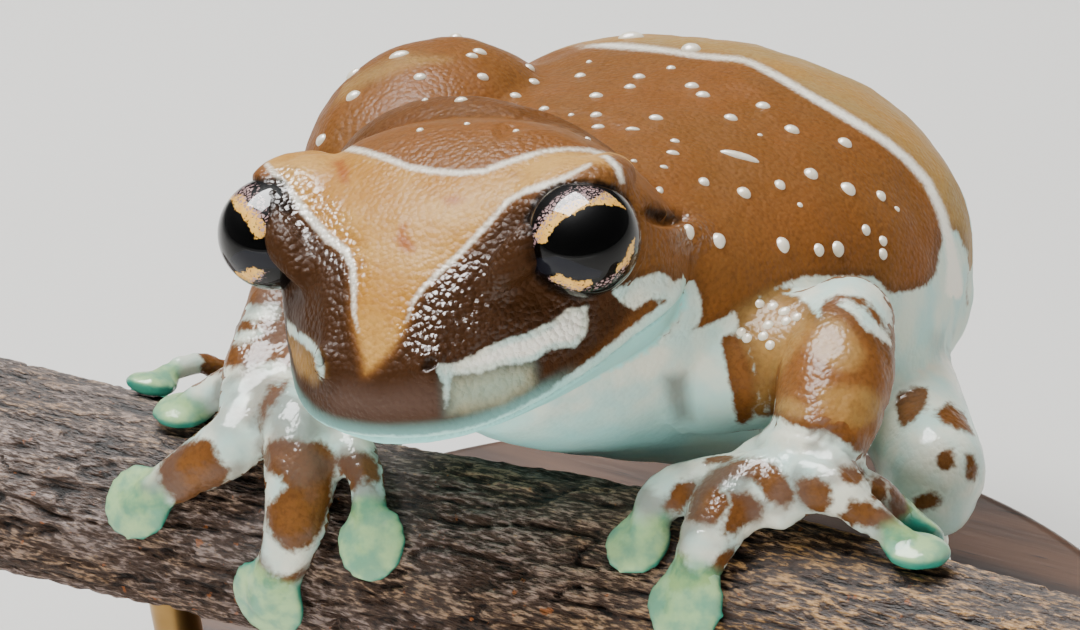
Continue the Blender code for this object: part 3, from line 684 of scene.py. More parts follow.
# Edge of the eyelid: two near-black browns mixed by half-millimetre noise under a faint wet coat.
# It gives the eye its thin dark outline.
@dataclass(frozen=True)
class LidEdge:
    """The dark moist margin of the eyelids."""

    colour: str = "0C0A09"
    mottle: str = "241812"

    def build(self) -> bpy.types.Material:
        """A near-black wet edge with a faint mottle.

        Returns:
            The material.
        """
        material, node, here = blank("moist_dark_lid_margin")
        lumps = node("TexNoise", {"Vector": here, "Scale": per(0.5), "Detail": 2.0})
        edge = node("Mix", {0: lumps, 6: linear(self.colour), 7: linear(self.mottle)}, **COLOUR)
        shader = node(
            "BsdfPrincipled",
            {"Base Color": edge, "Roughness": 0.22, "Coat Weight": 0.4, "Coat Roughness": 0.08},
        )
        return close(material, shader)


# White skin glands: cream with a warm stain and a faint bump of 0.2 mm, a little glossier than the skin.
# It gives each dome one small highlight.
@dataclass(frozen=True)
class GlandSkin:
    """Raised white skin glands, wet like the skin round them."""

    colour: str = "F2ECDD"
    stain: str = "D8CBAE"

    def build(self) -> bpy.types.Material:
        """Cream white with a faint warm stain.

        Returns:
            The material.
        """
        material, node, here = blank("white_skin_glands")
        lumps = node("TexNoise", {"Vector": here, "Scale": per(0.5), "Detail": 2.0})
        cream = node("Mix", {0: lumps, 6: linear(self.colour), 7: linear(self.stain)}, **COLOUR)
        grain = node("TexNoise", {"Vector": here, "Scale": per(0.2), "Detail": 2.0})
        bump = node("Bump", {"Strength": 0.3, "Distance": 0.00004, "Height": grain})
        shader = node(
            "BsdfPrincipled",
            {
                "Base Color": cream, "Roughness": 0.32, "Normal": bump, "Coat Normal": bump,
                "Subsurface Weight": 0.1, "Subsurface Radius": (0.5, 0.4, 0.3), "Subsurface Scale": 0.0006,
                "Coat Weight": 0.5, "Coat Roughness": 0.12,
            },
        )
        return close(material, shader)


# Dead bark: colours climb from near-black painted shade in the cracks to the ridges of the modelled relief,
# and noise stretched along the branch adds fibres and their bump. It gives the eye a dry, split surface that
# takes no highlight.
@dataclass(frozen=True)
class DryBark:
    """Weathered bark of a thin branch: grey-brown, split lengthwise, with pinkish ridges and lichen."""

    # Near-black of the painted shade in the cracks
    deep: str = "0E0906"
    ground: str = "443227"
    ridge: str = "948178"
    warm_ridge: str = "C4955A"
    fibre: str = "2A1B12"
    fleck: str = "C29A6C"
    lichen: str = "A8602A"

    def build(self) -> bpy.types.Material:
        """Colours the bark by its relief attribute, down to painted shade in the cracks, and adds fibres
        along the branch.

        Returns:
            The material.
        """
        material, node, here = blank("weathered_bark")
        stretched = node("Mapping", {0: here, 3: (0.24, 1.0, 1.0)})
        longer = node("Mapping", {0: here, 3: (0.42, 1.0, 1.0)})
        fibres = node("TexNoise", {"Vector": stretched, "Scale": per(0.24), "Detail": 4.0})
        fine = node("TexNoise", {"Vector": longer, "Scale": per(0.2), "Detail": 3.0})
        patches = node("TexNoise", {"Vector": longer, "Scale": per(4.5), "Detail": 3.0})
        patches = node("MapRange", {0: patches, 1: 0.45, 2: 0.65}, **SMOOTH)
        relief = node("Attribute", output="Fac", attribute_name="relief")
        relief = node("Math", {0: relief, 1: 0.55}, operation="MULTIPLY")
        relief = node("Math", {0: fibres, 1: 3.6, 2: relief}, operation="MULTIPLY_ADD")
        relief = node("Math", {0: relief, 1: -1.9})

        # Painted shade: the colour falls to near black as the relief sinks into the cracks
        low = node("MapRange", {0: relief, 1: -0.95, 2: -0.3}, **SMOOTH)
        high = node("MapRange", {0: relief, 1: -0.2, 2: 0.6}, **SMOOTH)
        warm = node("Attribute", output="Fac", attribute_name="warm")
        warm = node("Math", {0: patches, 1: 0.45, 2: warm}, operation="MULTIPLY_ADD", use_clamp=True)
        ridge = node("Mix", {0: warm, 6: linear(self.ridge), 7: linear(self.warm_ridge)}, **COLOUR)
        body = node("Mix", {0: low, 6: linear(self.deep), 7: linear(self.ground)}, **COLOUR)
        body = node("Mix", {0: high, 6: body, 7: ridge}, **COLOUR)
        strands = node("MapRange", {0: fine, 1: 0.45, 2: 0.7, 4: 0.55}, **SMOOTH)
        body = node("Mix", {0: strands, 6: body, 7: linear(self.fibre)}, **COLOUR)
        flecks = node("TexVoronoi", {"Vector": longer, "Scale": per(0.34)}, "Distance")
        flecks = node("MapRange", {0: flecks, 1: 0.34, 2: 0.1, 4: 0.5}, **SMOOTH)
        flecks = node("Math", {0: flecks, 1: high}, operation="MULTIPLY")
        body = node("Mix", {0: flecks, 6: body, 7: linear(self.fleck)}, **COLOUR)
        specks = node("TexNoise", {"Vector": here, "Scale": per(1.1), "Detail": 5.0})
        specks = node("MapRange", {0: specks, 1: 0.67, 2: 0.72, 4: 0.6}, **SMOOTH)
        body = node("Mix", {0: specks, 6: body, 7: linear(self.lichen)}, **COLOUR)

        height = node("Math", {0: fine, 1: 0.7, 2: fibres}, operation="MULTIPLY_ADD")
        height = node("Math", {0: flecks, 1: 0.3, 2: height}, operation="MULTIPLY_ADD")
        bump = node("Bump", {"Strength": 1.0, "Distance": 0.0006, "Height": height})
        shader = node("BsdfPrincipled", {"Base Color": body, "Roughness": 0.8, "Normal": bump})
        return close(material, shader)


# Oiled walnut: noise stretched along the base makes grain about 3 mm wide, finer noise its open pores,
# and a low coat the oil. It gives the eye a calm dark ground for the animal.
@dataclass(frozen=True)
class TurnedWalnut:
    """Oiled walnut of the stand's base, dark and long in the grain."""

    dark: str = "2B1A10"
    light: str = "5A3A24"
    pore: str = "1A0F09"

    def build(self) -> bpy.types.Material:
        """Grain bands along x, bent by noise, under a satin oil finish.

        Returns:
            The material.
        """
        material, node, here = blank("oiled_walnut")
        stretched = node("Mapping", {0: here, 3: (0.08, 1.0, 1.0)})
        grain = node("TexNoise", {"Vector": stretched, "Scale": per(3.0), "Detail": 5.0})
        grain = node("MapRange", {0: grain, 1: 0.3, 2: 0.7}, **SMOOTH)
        pores = node("TexNoise", {"Vector": stretched, "Scale": per(0.5), "Detail": 2.0})
        open_pores = node("MapRange", {0: pores, 1: 0.6, 2: 0.75}, **SMOOTH)
        wood = node("Mix", {0: grain, 6: linear(self.dark), 7: linear(self.light)}, **COLOUR)
        wood = node("Mix", {0: open_pores, 6: wood, 7: linear(self.pore)}, **COLOUR)
        bump = node("Bump", {"Strength": 0.25, "Distance": 0.00008, "Height": pores}, invert=True)
        shader = node(
            "BsdfPrincipled",
            {
                "Base Color": wood, "Roughness": 0.42, "Normal": bump,
                "Coat Weight": 0.15, "Coat Roughness": 0.3,
            },
        )
        return close(material, shader)


# Brushed brass: metal with a darker tarnish by 4 mm noise and a bump of fine lines round the rod.
# It gives the eye a soft, slightly aged gleam.
@dataclass(frozen=True)
class BrushedBrass:
    """Brass rod, brushed round and a little tarnished."""

    colour: str = "B8935A"
    tarnish: str = "8A6B3E"

    def build(self) -> bpy.types.Material:
        """Metal with fine brush lines and darker tarnish.

        Returns:
            The material.
        """
        material, node, here = blank("brushed_brass")
        lumps = node("TexNoise", {"Vector": here, "Scale": per(4.0), "Detail": 3.0})
        metal = node("Mix", {0: lumps, 6: linear(self.colour), 7: linear(self.tarnish)}, **COLOUR)
        flat = node("Mapping", {0: here, 3: (0.15, 0.15, 1.0)})
        lines = node("TexNoise", {"Vector": flat, "Scale": per(0.12), "Detail": 2.0})
        bump = node("Bump", {"Strength": 0.2, "Distance": 0.00003, "Height": lines})
        shader = node(
            "BsdfPrincipled", {"Base Color": metal, "Roughness": 0.3, "Metallic": 1.0, "Normal": bump}
        )
        return close(material, shader)


# Seamless paper: two near greys mixed by 40 mm noise, fully matt. It gives the eye an even, empty ground.
@dataclass(frozen=True)
class PaperFloor:
    """The pale seamless paper that the stand is photographed on."""

    colour: str = "D9D7D2"
    light: str = "DEDCD8"

    def build(self) -> bpy.types.Material:
        """Matt pale paper.

        Returns:
            The material.
        """
        material, node, here = blank("pale_seamless_paper")
        lumps = node("TexNoise", {"Vector": here, "Scale": per(40.0), "Detail": 2.0})
        tone = node("Mix", {0: lumps, 6: linear(self.colour), 7: linear(self.light)}, **COLOUR)
        shader = node("BsdfPrincipled", {"Base Color": tone, "Roughness": 0.9})
        return close(material, shader)


# The frog's frame and form


@dataclass(frozen=True)
class HeadFrame:
    """The head's own axes: its left, ahead and up, turned against the trunk by three angles."""

    turn: float = 8.7
    dip: float = 11.7
    roll: float = 7.4

    def axes(self) -> Array:
        """Rows left, ahead and up in the model's axes."""
        turns = [
            Matrix.Rotation(math.radians(angle), 3, axis)
            for angle, axis in ((self.turn, "Z"), (self.dip, "X"), (-self.roll, "Y"))
        ]
        left, behind, up = np.array(turns[0] @ turns[1] @ turns[2]).T
        return np.stack([left, -behind, up])

    def out(self, points: Array) -> Array:
        """Head coordinates turned to the model's axes."""
        return np.asarray(points, float) @ self.axes()

    def into(self, points: Array) -> Array:
        """The model's axes turned to head coordinates."""
        return points @ self.axes().T


HEAD = HeadFrame()


def ball(middle: Array | Row, radii: Row, axes: Array | None = None, rows: int = 32) -> Surface:
    """An ellipsoid: middle plus sin u cos v, sin u sin v and cos u times three radii along the axes.

    Args:
        middle: Its centre.
        radii: Its half sizes along the three axes.
        axes: The axes as rows, or none for the model's own.
        rows: How many rings it has.

    Returns:
        The surface.
    """
    u = np.linspace(0, math.pi, rows + 2)[1:-1, None]
    v = full_turn(2 * rows)[None, :]
    shape = np.stack([np.sin(u) * np.cos(v), np.sin(u) * np.sin(v), np.cos(u) + 0 * v], -1)
    frame = np.eye(3) if axes is None else axes
    return through_rings(shape * np.asarray(radii, float) @ frame + np.asarray(middle, float))


def limb(points: Sequence[Row], rows: int = 40, sides: int = 28, up: Row = (0.1, 0.05, 1.0)) -> Surface:
    """An oval section swept along a curve: C(t) + w(t) cos v across + h(t) sin v above, with round ends.

    Args:
        points: Rows of x, y, z, half width and half height.
        rows: How many rings the curve has.
        sides: How many points a ring has.
        up: The direction that the section's height leans to.

    Returns:
        The surface.
    """
    track = curve_through(points, rows)
    middles, wide, high = track[:, :3], track[:, 3], track[:, 4]
    ways = unit(np.gradient(middles, axis=0))
    across = unit(np.cross(ways, np.asarray(up, float)))
    above = np.cross(across, ways)
    # The round ends' five rings each stand at these angles from the limb's side
    turns = np.radians([84.0, 70.0, 52.0, 32.0, 14.0])
    low = -np.sin(turns)[:, None] * min(wide[0], high[0]) * ways[0] + middles[0]
    high_end = np.sin(turns[::-1])[:, None] * min(wide[-1], high[-1]) * ways[-1] + middles[-1]
    spans = np.concatenate([np.cos(turns), np.ones(rows), np.cos(turns[::-1])])
    index = np.concatenate([np.zeros(5, int), np.arange(rows), np.full(5, rows - 1)])
    centres = np.vstack([low, middles, high_end])
    v = full_turn(sides)
    rings = (
        centres[:, None]
        + (spans * wide[index])[:, None, None] * np.cos(v)[None, :, None] * across[index][:, None]
        + (spans * high[index])[:, None, None] * np.sin(v)[None, :, None] * above[index][:, None]
    )
    made = through_rings(rings)
    made.along = np.concatenate([np.repeat(index / (rows - 1), sides), [0.0, 1.0]])
    return made


def turned(profile: Sequence[Row], middle: Array, axes: Array, sides: int = 64) -> Surface:
    """A profile of radius and height turned about the last axis: r(t) cos v, r(t) sin v, h(t)."""
    rows = curve_through([(radius, height, 0.0) for radius, height in profile], 4 * len(profile))
    v = full_turn(sides)[None, :]
    radius, height = np.maximum(rows[:, :1], 0.01), rows[:, 1:2]
    shape = np.stack([radius * np.cos(v), radius * np.sin(v), height + 0 * v], -1)
    return through_rings(shape @ axes + middle)


PERCH_AXIS: Rows = (
    (-50.0, 3.0, -31.6), (-25.0, 3.0, -30.8), (0.0, 3.0, -29.3), (24.0, 3.0, -27.6), (50.0, 3.0, -28.4),
)
PERCH_RADIUS = 7.5


def perch_point(along: float, angle: float, reach: float) -> Array:
    """A point reach away from the perch's axis, at an angle in degrees from its top to the front."""
    depth, height = table_at(np.array([along]), PERCH_AXIS)[0]
    turn = math.radians(angle)
    return np.array([along, depth - reach * math.sin(turn), height + reach * math.cos(turn)])


class Flesh(Enum):
    """The regions of the skin, each with markings of its own."""

    TRUNK = 0
    LOBE = 1
    NAPE = 2
    HEAD = 3
    UPPER_ARM_LEFT = 4
    FOREARM_LEFT = 5
    HAND_LEFT = 6
    UPPER_ARM_RIGHT = 7
    FOREARM_RIGHT = 8
    HAND_RIGHT = 9
    THIGH = 10
    SHANK = 11
    FOOT = 12
    DISC = 13


def in_regions(region: Whole, *wanted: Flesh) -> Mask:
    """Whether each point's region number is one of the wanted regions'."""
    return np.isin(region, [one.value for one in wanted])


@dataclass
class FrogForm:
    """The frog's form as overlapping surfaces, in millimetres from the middle between the eyes."""

    eye_spread: float = 11.3
    eye_radius: float = 3.75
    gaze: Row = (0.62, 0.64, 0.45)
    lid_wall: float = 0.7
    lid_height: float = -0.75
    lip_front: float = 11.9
    lip_drop: float = 6.7
    lip_slope: float = 0.16
    mouth_corner: float = -4.6
    nostril: Row = (3.6, 9.7)
    nostril_swell: Row = (1.25, 1.3, 0.85)
    # Middle and half sizes of the hump behind the right ear and of the nape
    hump: tuple[Row, Row] = ((-15.2, 23.0, -11.0), (9.2, 11.5, 9.2))
    nape: tuple[Row, Row] = ((-2.2, 11.5, -4.4), (12.5, 6.2, 7.2))
    # The same of the brow and the ear drum in head coordinates, and the way that the drum faces
    brow: tuple[Row, Row] = ((9.4, -2.2, -1.0), (4.2, 4.8, 4.4))
    drum: tuple[Row, Row, Row] = ((12.6, -7.6, -6.8), (2.2, 2.2, 0.6), (0.9, -0.15, 0.4))
    # The way along which the lids stand open, in head coordinates: the left eye looks more to the front
    opening_left: Row = (0.442, 0.659, 0.609)
    opening_right: Row = (0.8, 0.5, 0.33)
    # The bony rim above the eye, from behind to the snout: points with the radius there
    eye_rim: Rows = (
        (10.8, -6.0, 0.0, 1.6), (11.8, -4.0, 1.3, 1.6), (11.6, -2.0, 2.2, 1.5), (10.4, 0.2, 2.4, 1.4),
        (9.1, 2.3, 1.3, 1.3), (7.5, 4.4, 0.4, 1.0),
    )
    # Ahead of the eyes, crown height, half width, chin height, roundness of the upper section
    head_stations: Rows = (
        (-13.0, -1.5, 9.5, -20.0, 2.2), (-10.0, 1.4, 12.2, -18.4, 2.4), (-7.0, 3.0, 13.6, -17.0, 2.5),
        (-4.0, 3.5, 13.95, -15.5, 2.6), (0.0, 3.3, 12.53, -13.6, 2.7), (4.0, 2.2, 10.93, -11.4, 2.2),
        (7.0, 0.8, 9.17, -9.7, 2.05), (9.5, -0.9, 7.17, -8.3, 2.0), (11.0, -2.3, 5.1, -7.5, 2.1),
        (11.7, -3.4, 3.1, -7.15, 2.2), (12.0, -4.6, 1.1, -6.9, 2.2),
    )
    # Behind the eyes, middle, half width, back, belly, place of the widest line, belly's roundness
    trunk_stations: Rows = (
        (3.0, 0.0, 7.0, -2.0, -17.0, 0.55, 2.0), (8.0, 0.0, 11.5, -0.4, -21.5, 0.60, 2.0),
        (14.0, -0.2, 15.6, -1.6, -26.0, 0.60, 2.2), (22.0, -0.6, 19.2, -3.2, -30.4, 0.48, 3.0),
        (31.0, -1.2, 21.2, -5.0, -32.0, 0.44, 3.6), (40.0, -1.8, 20.6, -6.9, -32.2, 0.42, 3.6),
        (48.0, -2.4, 16.8, -11.3, -31.4, 0.42, 3.0), (54.0, -2.8, 10.6, -17.2, -29.5, 0.45, 2.4),
        (57.0, -3.0, 4.6, -21.3, -26.8, 0.50, 2.0),
    )
    back_roundness: float = 2.2
    upper_arm_left: Rows = (
        (11.2, 13.6, -16.6, 3.8, 4.0), (16.2, 14.8, -15.0, 4.0, 4.3), (20.6, 17.2, -12.9, 3.4, 3.6),
    )
    forearm_left: Rows = (
        (20.6, 17.8, -12.7, 3.3, 3.5), (22.0, 13.6, -13.3, 3.8, 3.9), (22.9, 10.4, -14.4, 3.6, 3.5),
        (23.3, 8.2, -15.2, 3.2, 2.9),
    )
    palm_left: Rows = (
        (23.4, 8.2, -15.4, 3.3, 2.6), (22.4, 6.6, -16.4, 4.0, 2.3), (20.9, 5.0, -17.4, 4.3, 2.1),
    )
    upper_arm_right: Rows = (
        (-10.6, 13.0, -16.5, 3.8, 4.0), (-15.6, 15.2, -15.3, 3.9, 4.1), (-19.8, 18.2, -13.8, 3.3, 3.5),
    )
    forearm_right: Rows = (
        (-20.0, 18.5, -13.6, 3.2, 3.4), (-20.5, 13.5, -14.8, 3.4, 3.5), (-20.1, 8.8, -17.0, 3.0, 2.9),
    )
    palm_right: Rows = (
        (-19.9, 7.8, -17.3, 3.1, 2.7), (-18.8, 5.8, -18.4, 3.8, 2.5), (-17.4, 3.6, -19.4, 4.1, 2.3),
    )
    # Points of each finger with the radius there, and the radii of the fingers' discs
    fingers_left: tuple[Rows, ...] = (
        (
            (19.4, 4.8, -17.3, 2.0), (16.6, 3.4, -17.6, 1.9), (14.6, 2.0, -18.2, 1.6),
            (13.9, -0.3, -20.5, 1.0),
        ),
        (
            (20.7, 4.5, -17.0, 2.4), (19.4, 2.4, -17.8, 2.35), (19.0, -0.2, -19.2, 1.9),
            (18.8, -3.0, -22.1, 1.35),
        ),
        (
            (22.6, 5.0, -16.6, 2.2), (25.8, 5.0, -16.2, 2.0), (28.4, 4.7, -17.5, 1.25),
            (31.9, 4.6, -19.3, 0.8),
        ),
        (
            (23.4, 6.4, -17.2, 1.8), (26.2, 8.2, -18.4, 1.5), (27.8, 9.6, -20.6, 1.2),
            (28.6, 10.5, -22.4, 1.1),
        ),
    )
    finger_discs_left: Row = (2.45, 2.9, 2.3, 2.3)
    fingers_right: tuple[Rows, ...] = (
        (
            (-16.0, 3.6, -19.6, 1.9), (-11.8, 2.6, -19.6, 1.7), (-7.9, 0.0, -20.9, 1.4),
            (-5.8, -3.1, -24.0, 1.0),
        ),
        (
            (-16.0, 2.6, -19.3, 2.6), (-13.2, 0.2, -19.8, 2.7), (-11.7, -3.6, -23.6, 2.2),
            (-13.9, -5.2, -29.6, 1.5),
        ),
        (
            (-18.6, 3.0, -19.4, 2.4), (-18.4, -0.2, -20.6, 2.3), (-21.0, -1.9, -22.4, 1.95),
            (-25.5, -3.6, -25.6, 1.3),
        ),
        (
            (-19.4, 4.6, -19.6, 2.0), (-22.4, 5.0, -20.4, 1.6), (-24.6, 4.4, -21.6, 1.3),
            (-26.2, 3.8, -22.6, 1.2),
        ),
    )
    finger_discs_right: Row = (2.85, 3.2, 2.95, 2.4)
    thigh: Rows = (
        (4.5, 45.0, -25.8, 5.0, 4.6), (13.5, 35.5, -27.2, 4.6, 4.3), (23.6, 23.6, -27.4, 3.6, 3.8),
    )
    shank: Rows = (
        (23.4, 23.0, -28.8, 3.5, 3.5), (15.5, 36.0, -32.2, 3.1, 2.7), (8.5, 48.5, -33.4, 2.4, 2.2),
    )
    tarsus: Rows = (
        (8.4, 48.8, -35.2, 2.2, 1.9), (14.5, 37.0, -36.8, 1.9, 1.7), (21.0, 24.0, -34.8, 2.9, 1.6),
    )
    # How far each of a hand's three webs goes along the fingers, from 0 to 1
    web_reach: Row = (0.42, 0.5, 0.5)
    toe_web_reach: float = 0.62
    right_hind_shift: float = -2.0
    toe_root: Row = (20.4, 22.4, -34.4)
    toe_radius: float = 0.98
    toe_disc: float = 2.05
    # A disc's width as a part of its length, and half its thickness
    disc_width: float = 0.96
    disc_half: float = 0.85
    # A web's half thickness, and how far its free edge sags back
    web_half: float = 0.42
    web_sag: float = 0.45
    # How far before its disc a toe bends, in degrees round the perch, and how high above the bark
    toe_bend: tuple[float, float] = (24.0, 3.4)
    # Place along the perch and angle round it of each toe's disc, from its top to the front
    toes_left: Rows = (
        (16.5, -104.0), (20.0, -97.0), (23.6, -90.0), (27.4, -84.0), (31.2, -92.0),
    )
    toes_right: Rows = (
        (-16.5, -104.0), (-20.5, -97.0), (-25.0, -88.0), (-31.8, -30.0), (-35.5, -72.0),
    )
    # Ridges and grooves of the left half of the head: a line with their height and spread
    head_relief: tuple[tuple[Rows, float, float], ...] = (
        (((8.6, 2.6, 2.2), (5.9, 4.4, 1.6), (4.7, 6.8, 0.8), (3.7, 9.6, -1.0)), 0.45, 0.9),
        (((6.9, -2.4, 2.6), (6.2, 0.2, 2.6), (6.4, 2.6, 2.2)), 0.25, 1.2),
        (((8.8, 6.6, -3.0), (6.4, 9.4, -3.6)), -0.35, 1.6),
        (((9.6, 4.2, -1.2), (8.4, 5.2, -0.2)), -0.5, 1.4),
        (((12.6, -6.0, 0.2), (12.9, -8.8, -1.6), (12.4, -11.6, -5.0)), 0.4, 1.1),
    )
    parts: list[tuple[Flesh, Surface]] = field(default_factory=list)
    discs: list[tuple[Array, float, Array]] = field(default_factory=list)

    def lip_height(self, ahead: Array) -> Array:
        """Height of the line of the mouth, a straight slope down to the snout."""
        return -self.lip_drop - self.lip_slope * (self.lip_front - ahead)

    @staticmethod
    def on_left(points: Array) -> Array:
        """Head coordinates with both halves folded onto the left one."""
        return np.stack([np.abs(points[:, 0]), points[:, 1], points[:, 2]], -1)

    def to_nostril(self, twin: Array) -> Array:
        """Distance from a nostril, drawn out to a slit that slants back and out."""
        # The hole lies a little outside and ahead of the swelling's middle
        away = twin - np.array([self.nostril[0] + 0.45, self.nostril[1] + 0.45, -1.5])
        along = away @ unit(np.array([0.75, -0.6, 0.2]))
        return np.sqrt(np.maximum((away**2).sum(1) - 0.7 * along**2, 0.0))

    @staticmethod
    def on_side(side: Side, place: Row) -> Array:
        """A place or way on the head's left half, brought to a side and to the model's axes."""
        return HEAD.out(np.array([side.value * place[0], place[1], place[2]]))

    def eye_middle(self, side: Side) -> Array:
        """The middle of an eyeball."""
        return self.on_side(side, (self.eye_spread, 0.0, 0.0))

    def gaze_of(self, side: Side) -> Array:
        """The direction in which an eye stands out of the head."""
        return unit(self.on_side(side, self.gaze))

    def opening_of(self, side: Side) -> Array:
        """The direction along which an eye's lids stand open."""
        return unit(self.on_side(side, self.opening_left if side is Side.LEFT else self.opening_right))

    def trunk(self) -> Surface:
        """Sections |x/w|^p + |z/h|^p = 1 along y, with one power above the widest line and one below."""
        places = np.linspace(self.trunk_stations[0][0], self.trunk_stations[-1][0], 90)
        middle, wide, back, belly, widest, round_low = table_at(places, self.trunk_stations).T[:, :, None]
        v = full_turn(140)[None, ::-1]
        line = belly + (back - belly) * widest
        power = np.where(np.sin(v) > 0, 2 / self.back_roundness, 2 / round_low)
        x = middle + wide * np.sign(np.cos(v)) * np.abs(np.cos(v)) ** power
        reach = np.where(np.sin(v) > 0, back - line, line - belly)
        z = line + reach * np.sign(np.sin(v)) * np.abs(np.sin(v)) ** power
        return through_rings(np.stack([x, places[:, None] + 0 * v, z], -1))

    def head(self) -> Surface:
        """Sections across the head: a superellipse from lip to crown, and a rounder, narrower jaw below."""
        # The rings stand closer together towards the blunt tip of the snout
        blunt = 1 - np.sin(np.linspace(0, math.pi / 2, 26))
        places = np.concatenate([np.linspace(-13.0, 7.6, 60), 12.0 - 4.2 * blunt])
        places[-1] = 11.985
        crown, wide, chin, round_up = table_at(places, self.head_stations).T[:, :, None]
        ahead = places[:, None]
        lip = self.lip_height(ahead)
        upper = np.linspace(0, math.pi, 60)[None, :]
        lower = np.linspace(math.pi, 2 * math.pi, 60)[None, 1:-1]
        left = wide * np.sign(np.cos(upper)) * np.abs(np.cos(upper)) ** (2 / round_up)
        up = lip + (crown - lip) * np.sin(upper) ** (2 / round_up)
        inner = wide - 0.8 * np.minimum(1.0, wide / 2)
        low_left = inner * np.cos(lower)
        low_up = lip - 0.2 - (lip - chin) * np.abs(np.sin(lower)) ** 1.1
        left, up = np.hstack([left, low_left]), np.hstack([up, low_up])
        return through_rings(HEAD.out(np.stack([left, ahead + 0 * left, up], -1)))

    def lids(self, side: Side) -> Surface:
        """A cup about the eye, open along its gaze, whose rounded rim stands behind the eye's middle."""
        inner, outer = self.eye_radius + 0.1, self.eye_radius + 0.25 + self.lid_wall
        rim = self.lid_height
        profile = (
            (0.0, -outer), (outer * 0.45, -outer * 0.92), (outer * 0.8, -outer * 0.62),
            (outer * 0.97, rim - 0.9), (outer * 0.98, rim - 0.3), (inner + 0.25, rim + 0.15),
            (inner - 0.1, rim), (inner - 0.5, rim - 0.8), (inner * 0.6, -2.9), (0.0, -3.3),
        )
        return turned(profile, self.eye_middle(side), axes_along(self.gaze_of(side)))

    def add(self, region: Flesh, *surfaces: Surface) -> None:
        """Keeps surfaces as part of one region."""
        self.parts.extend((region, surface) for surface in surfaces)

    def digit(self, region: Flesh, points: Sequence[Row], disc: float) -> None:
        """A finger or toe that ends in a flat round disc pressed on the perch.

        Args:
            region: The region that it belongs to.
            points: Points of its axis with their radius.
            disc: The radius of its disc.
        """
        track = [(*point[:3], point[3], point[3]) for point in points]
        self.add(region, limb(track, 30, 20, (0.2, -0.6, 0.8)))
        tip, before = np.array(points[-1][:3]), np.array(points[-2][:3])
        depth, height = table_at(tip[:1], PERCH_AXIS)[0]
        outward = unit(tip - np.array([tip[0], depth, height]))
        ahead = tip - before
        ahead = unit(ahead - outward * ahead.dot(outward))
        axes = np.stack([ahead, np.cross(outward, ahead), outward])
        self.add(Flesh.DISC, ball(tip, (disc, disc * self.disc_width, self.disc_half), axes, 18))
        self.discs.append((tip, disc, outward))

    def web(self, region: Flesh, first: Sequence[Row], second: Sequence[Row], reach: float) -> None:
        """Skin stretched between two digits: rows from one axis to the other that sag back at the free edge.

        Args:
            region: The region that it belongs to.
            first: Points of one digit's axis.
            second: Points of the other's.
            reach: How far along the digits it goes, from 0 to 1.
        """
        count = 14
        keep = max(3, int(count * reach))
        a = curve_through([point[:3] for point in first], count)[:keep]
        b = curve_through([point[:3] for point in second], count)[:keep]
        across = np.linspace(0, 1, 9)[:, None, None]
        strip = a[None] * (1 - across) + b[None] * across
        sag = (4 * across * (1 - across)) * np.linspace(0, 1, keep)[None, :, None] ** 2
        strip = strip + sag * self.web_sag * (strip[:, :1] - strip)
        flat = unit(np.cross(strip[4, -1] - strip[4, 0], strip[-1, keep // 2] - strip[0, keep // 2]))
        top, under = strip + flat * self.web_half, strip - flat * self.web_half
        self.add(region, through_rings(np.concatenate([top, under[:, ::-1]], axis=1)))

    def hand(self, side: Side) -> None:
        """Palm, four fingers and the webs between them."""
        region, palm, fingers, discs = (
            (Flesh.HAND_LEFT, self.palm_left, self.fingers_left, self.finger_discs_left)
            if side is Side.LEFT
            else (Flesh.HAND_RIGHT, self.palm_right, self.fingers_right, self.finger_discs_right)
        )
        self.add(region, limb(palm, 24, 30))
        for points, disc in zip(fingers, discs):
            self.digit(region, points, disc)
        for first, second, reach in zip(fingers[:-1], fingers[1:], self.web_reach):
            self.web(region, first, second, reach)

    def hind_limb(self, side: Side) -> None:
        """Thigh, shank, long tarsus, five toes and the webs between them."""
        sign = side.value
        shift = 0.0 if side is Side.LEFT else self.right_hind_shift
        bones = ((Flesh.THIGH, self.thigh), (Flesh.SHANK, self.shank), (Flesh.FOOT, self.tarsus))
        for region, points in bones:
            self.add(region, limb([(sign * x + shift, *rest) for x, *rest in points]))
        x_root, y_root, z_root = self.toe_root
        toes = []
        for number, (along, angle) in enumerate(self.toes_left if side is Side.LEFT else self.toes_right):
            tip = perch_point(along, angle, PERCH_RADIUS + 0.9)
            bend = perch_point(along - sign, angle - self.toe_bend[0], PERCH_RADIUS + self.toe_bend[1])
            root = np.array([sign * (x_root + 0.9 * number) + shift, y_root, z_root])
            thick = self.toe_radius
            middle = root * 0.45 + bend * 0.55 + np.array([0, 0, -0.8])
            toes.append(((*root, thick + 0.1), (*middle, thick), (*bend, thick * 0.9), (*tip, thick * 0.8)))
        for toe in toes:
            self.digit(Flesh.FOOT, toe, self.toe_disc)
        near = 3 if side is Side.RIGHT else 4
        for first, second in zip(toes[:near], toes[1 : near + 1]):
            self.web(Flesh.FOOT, first, second, self.toe_web_reach)

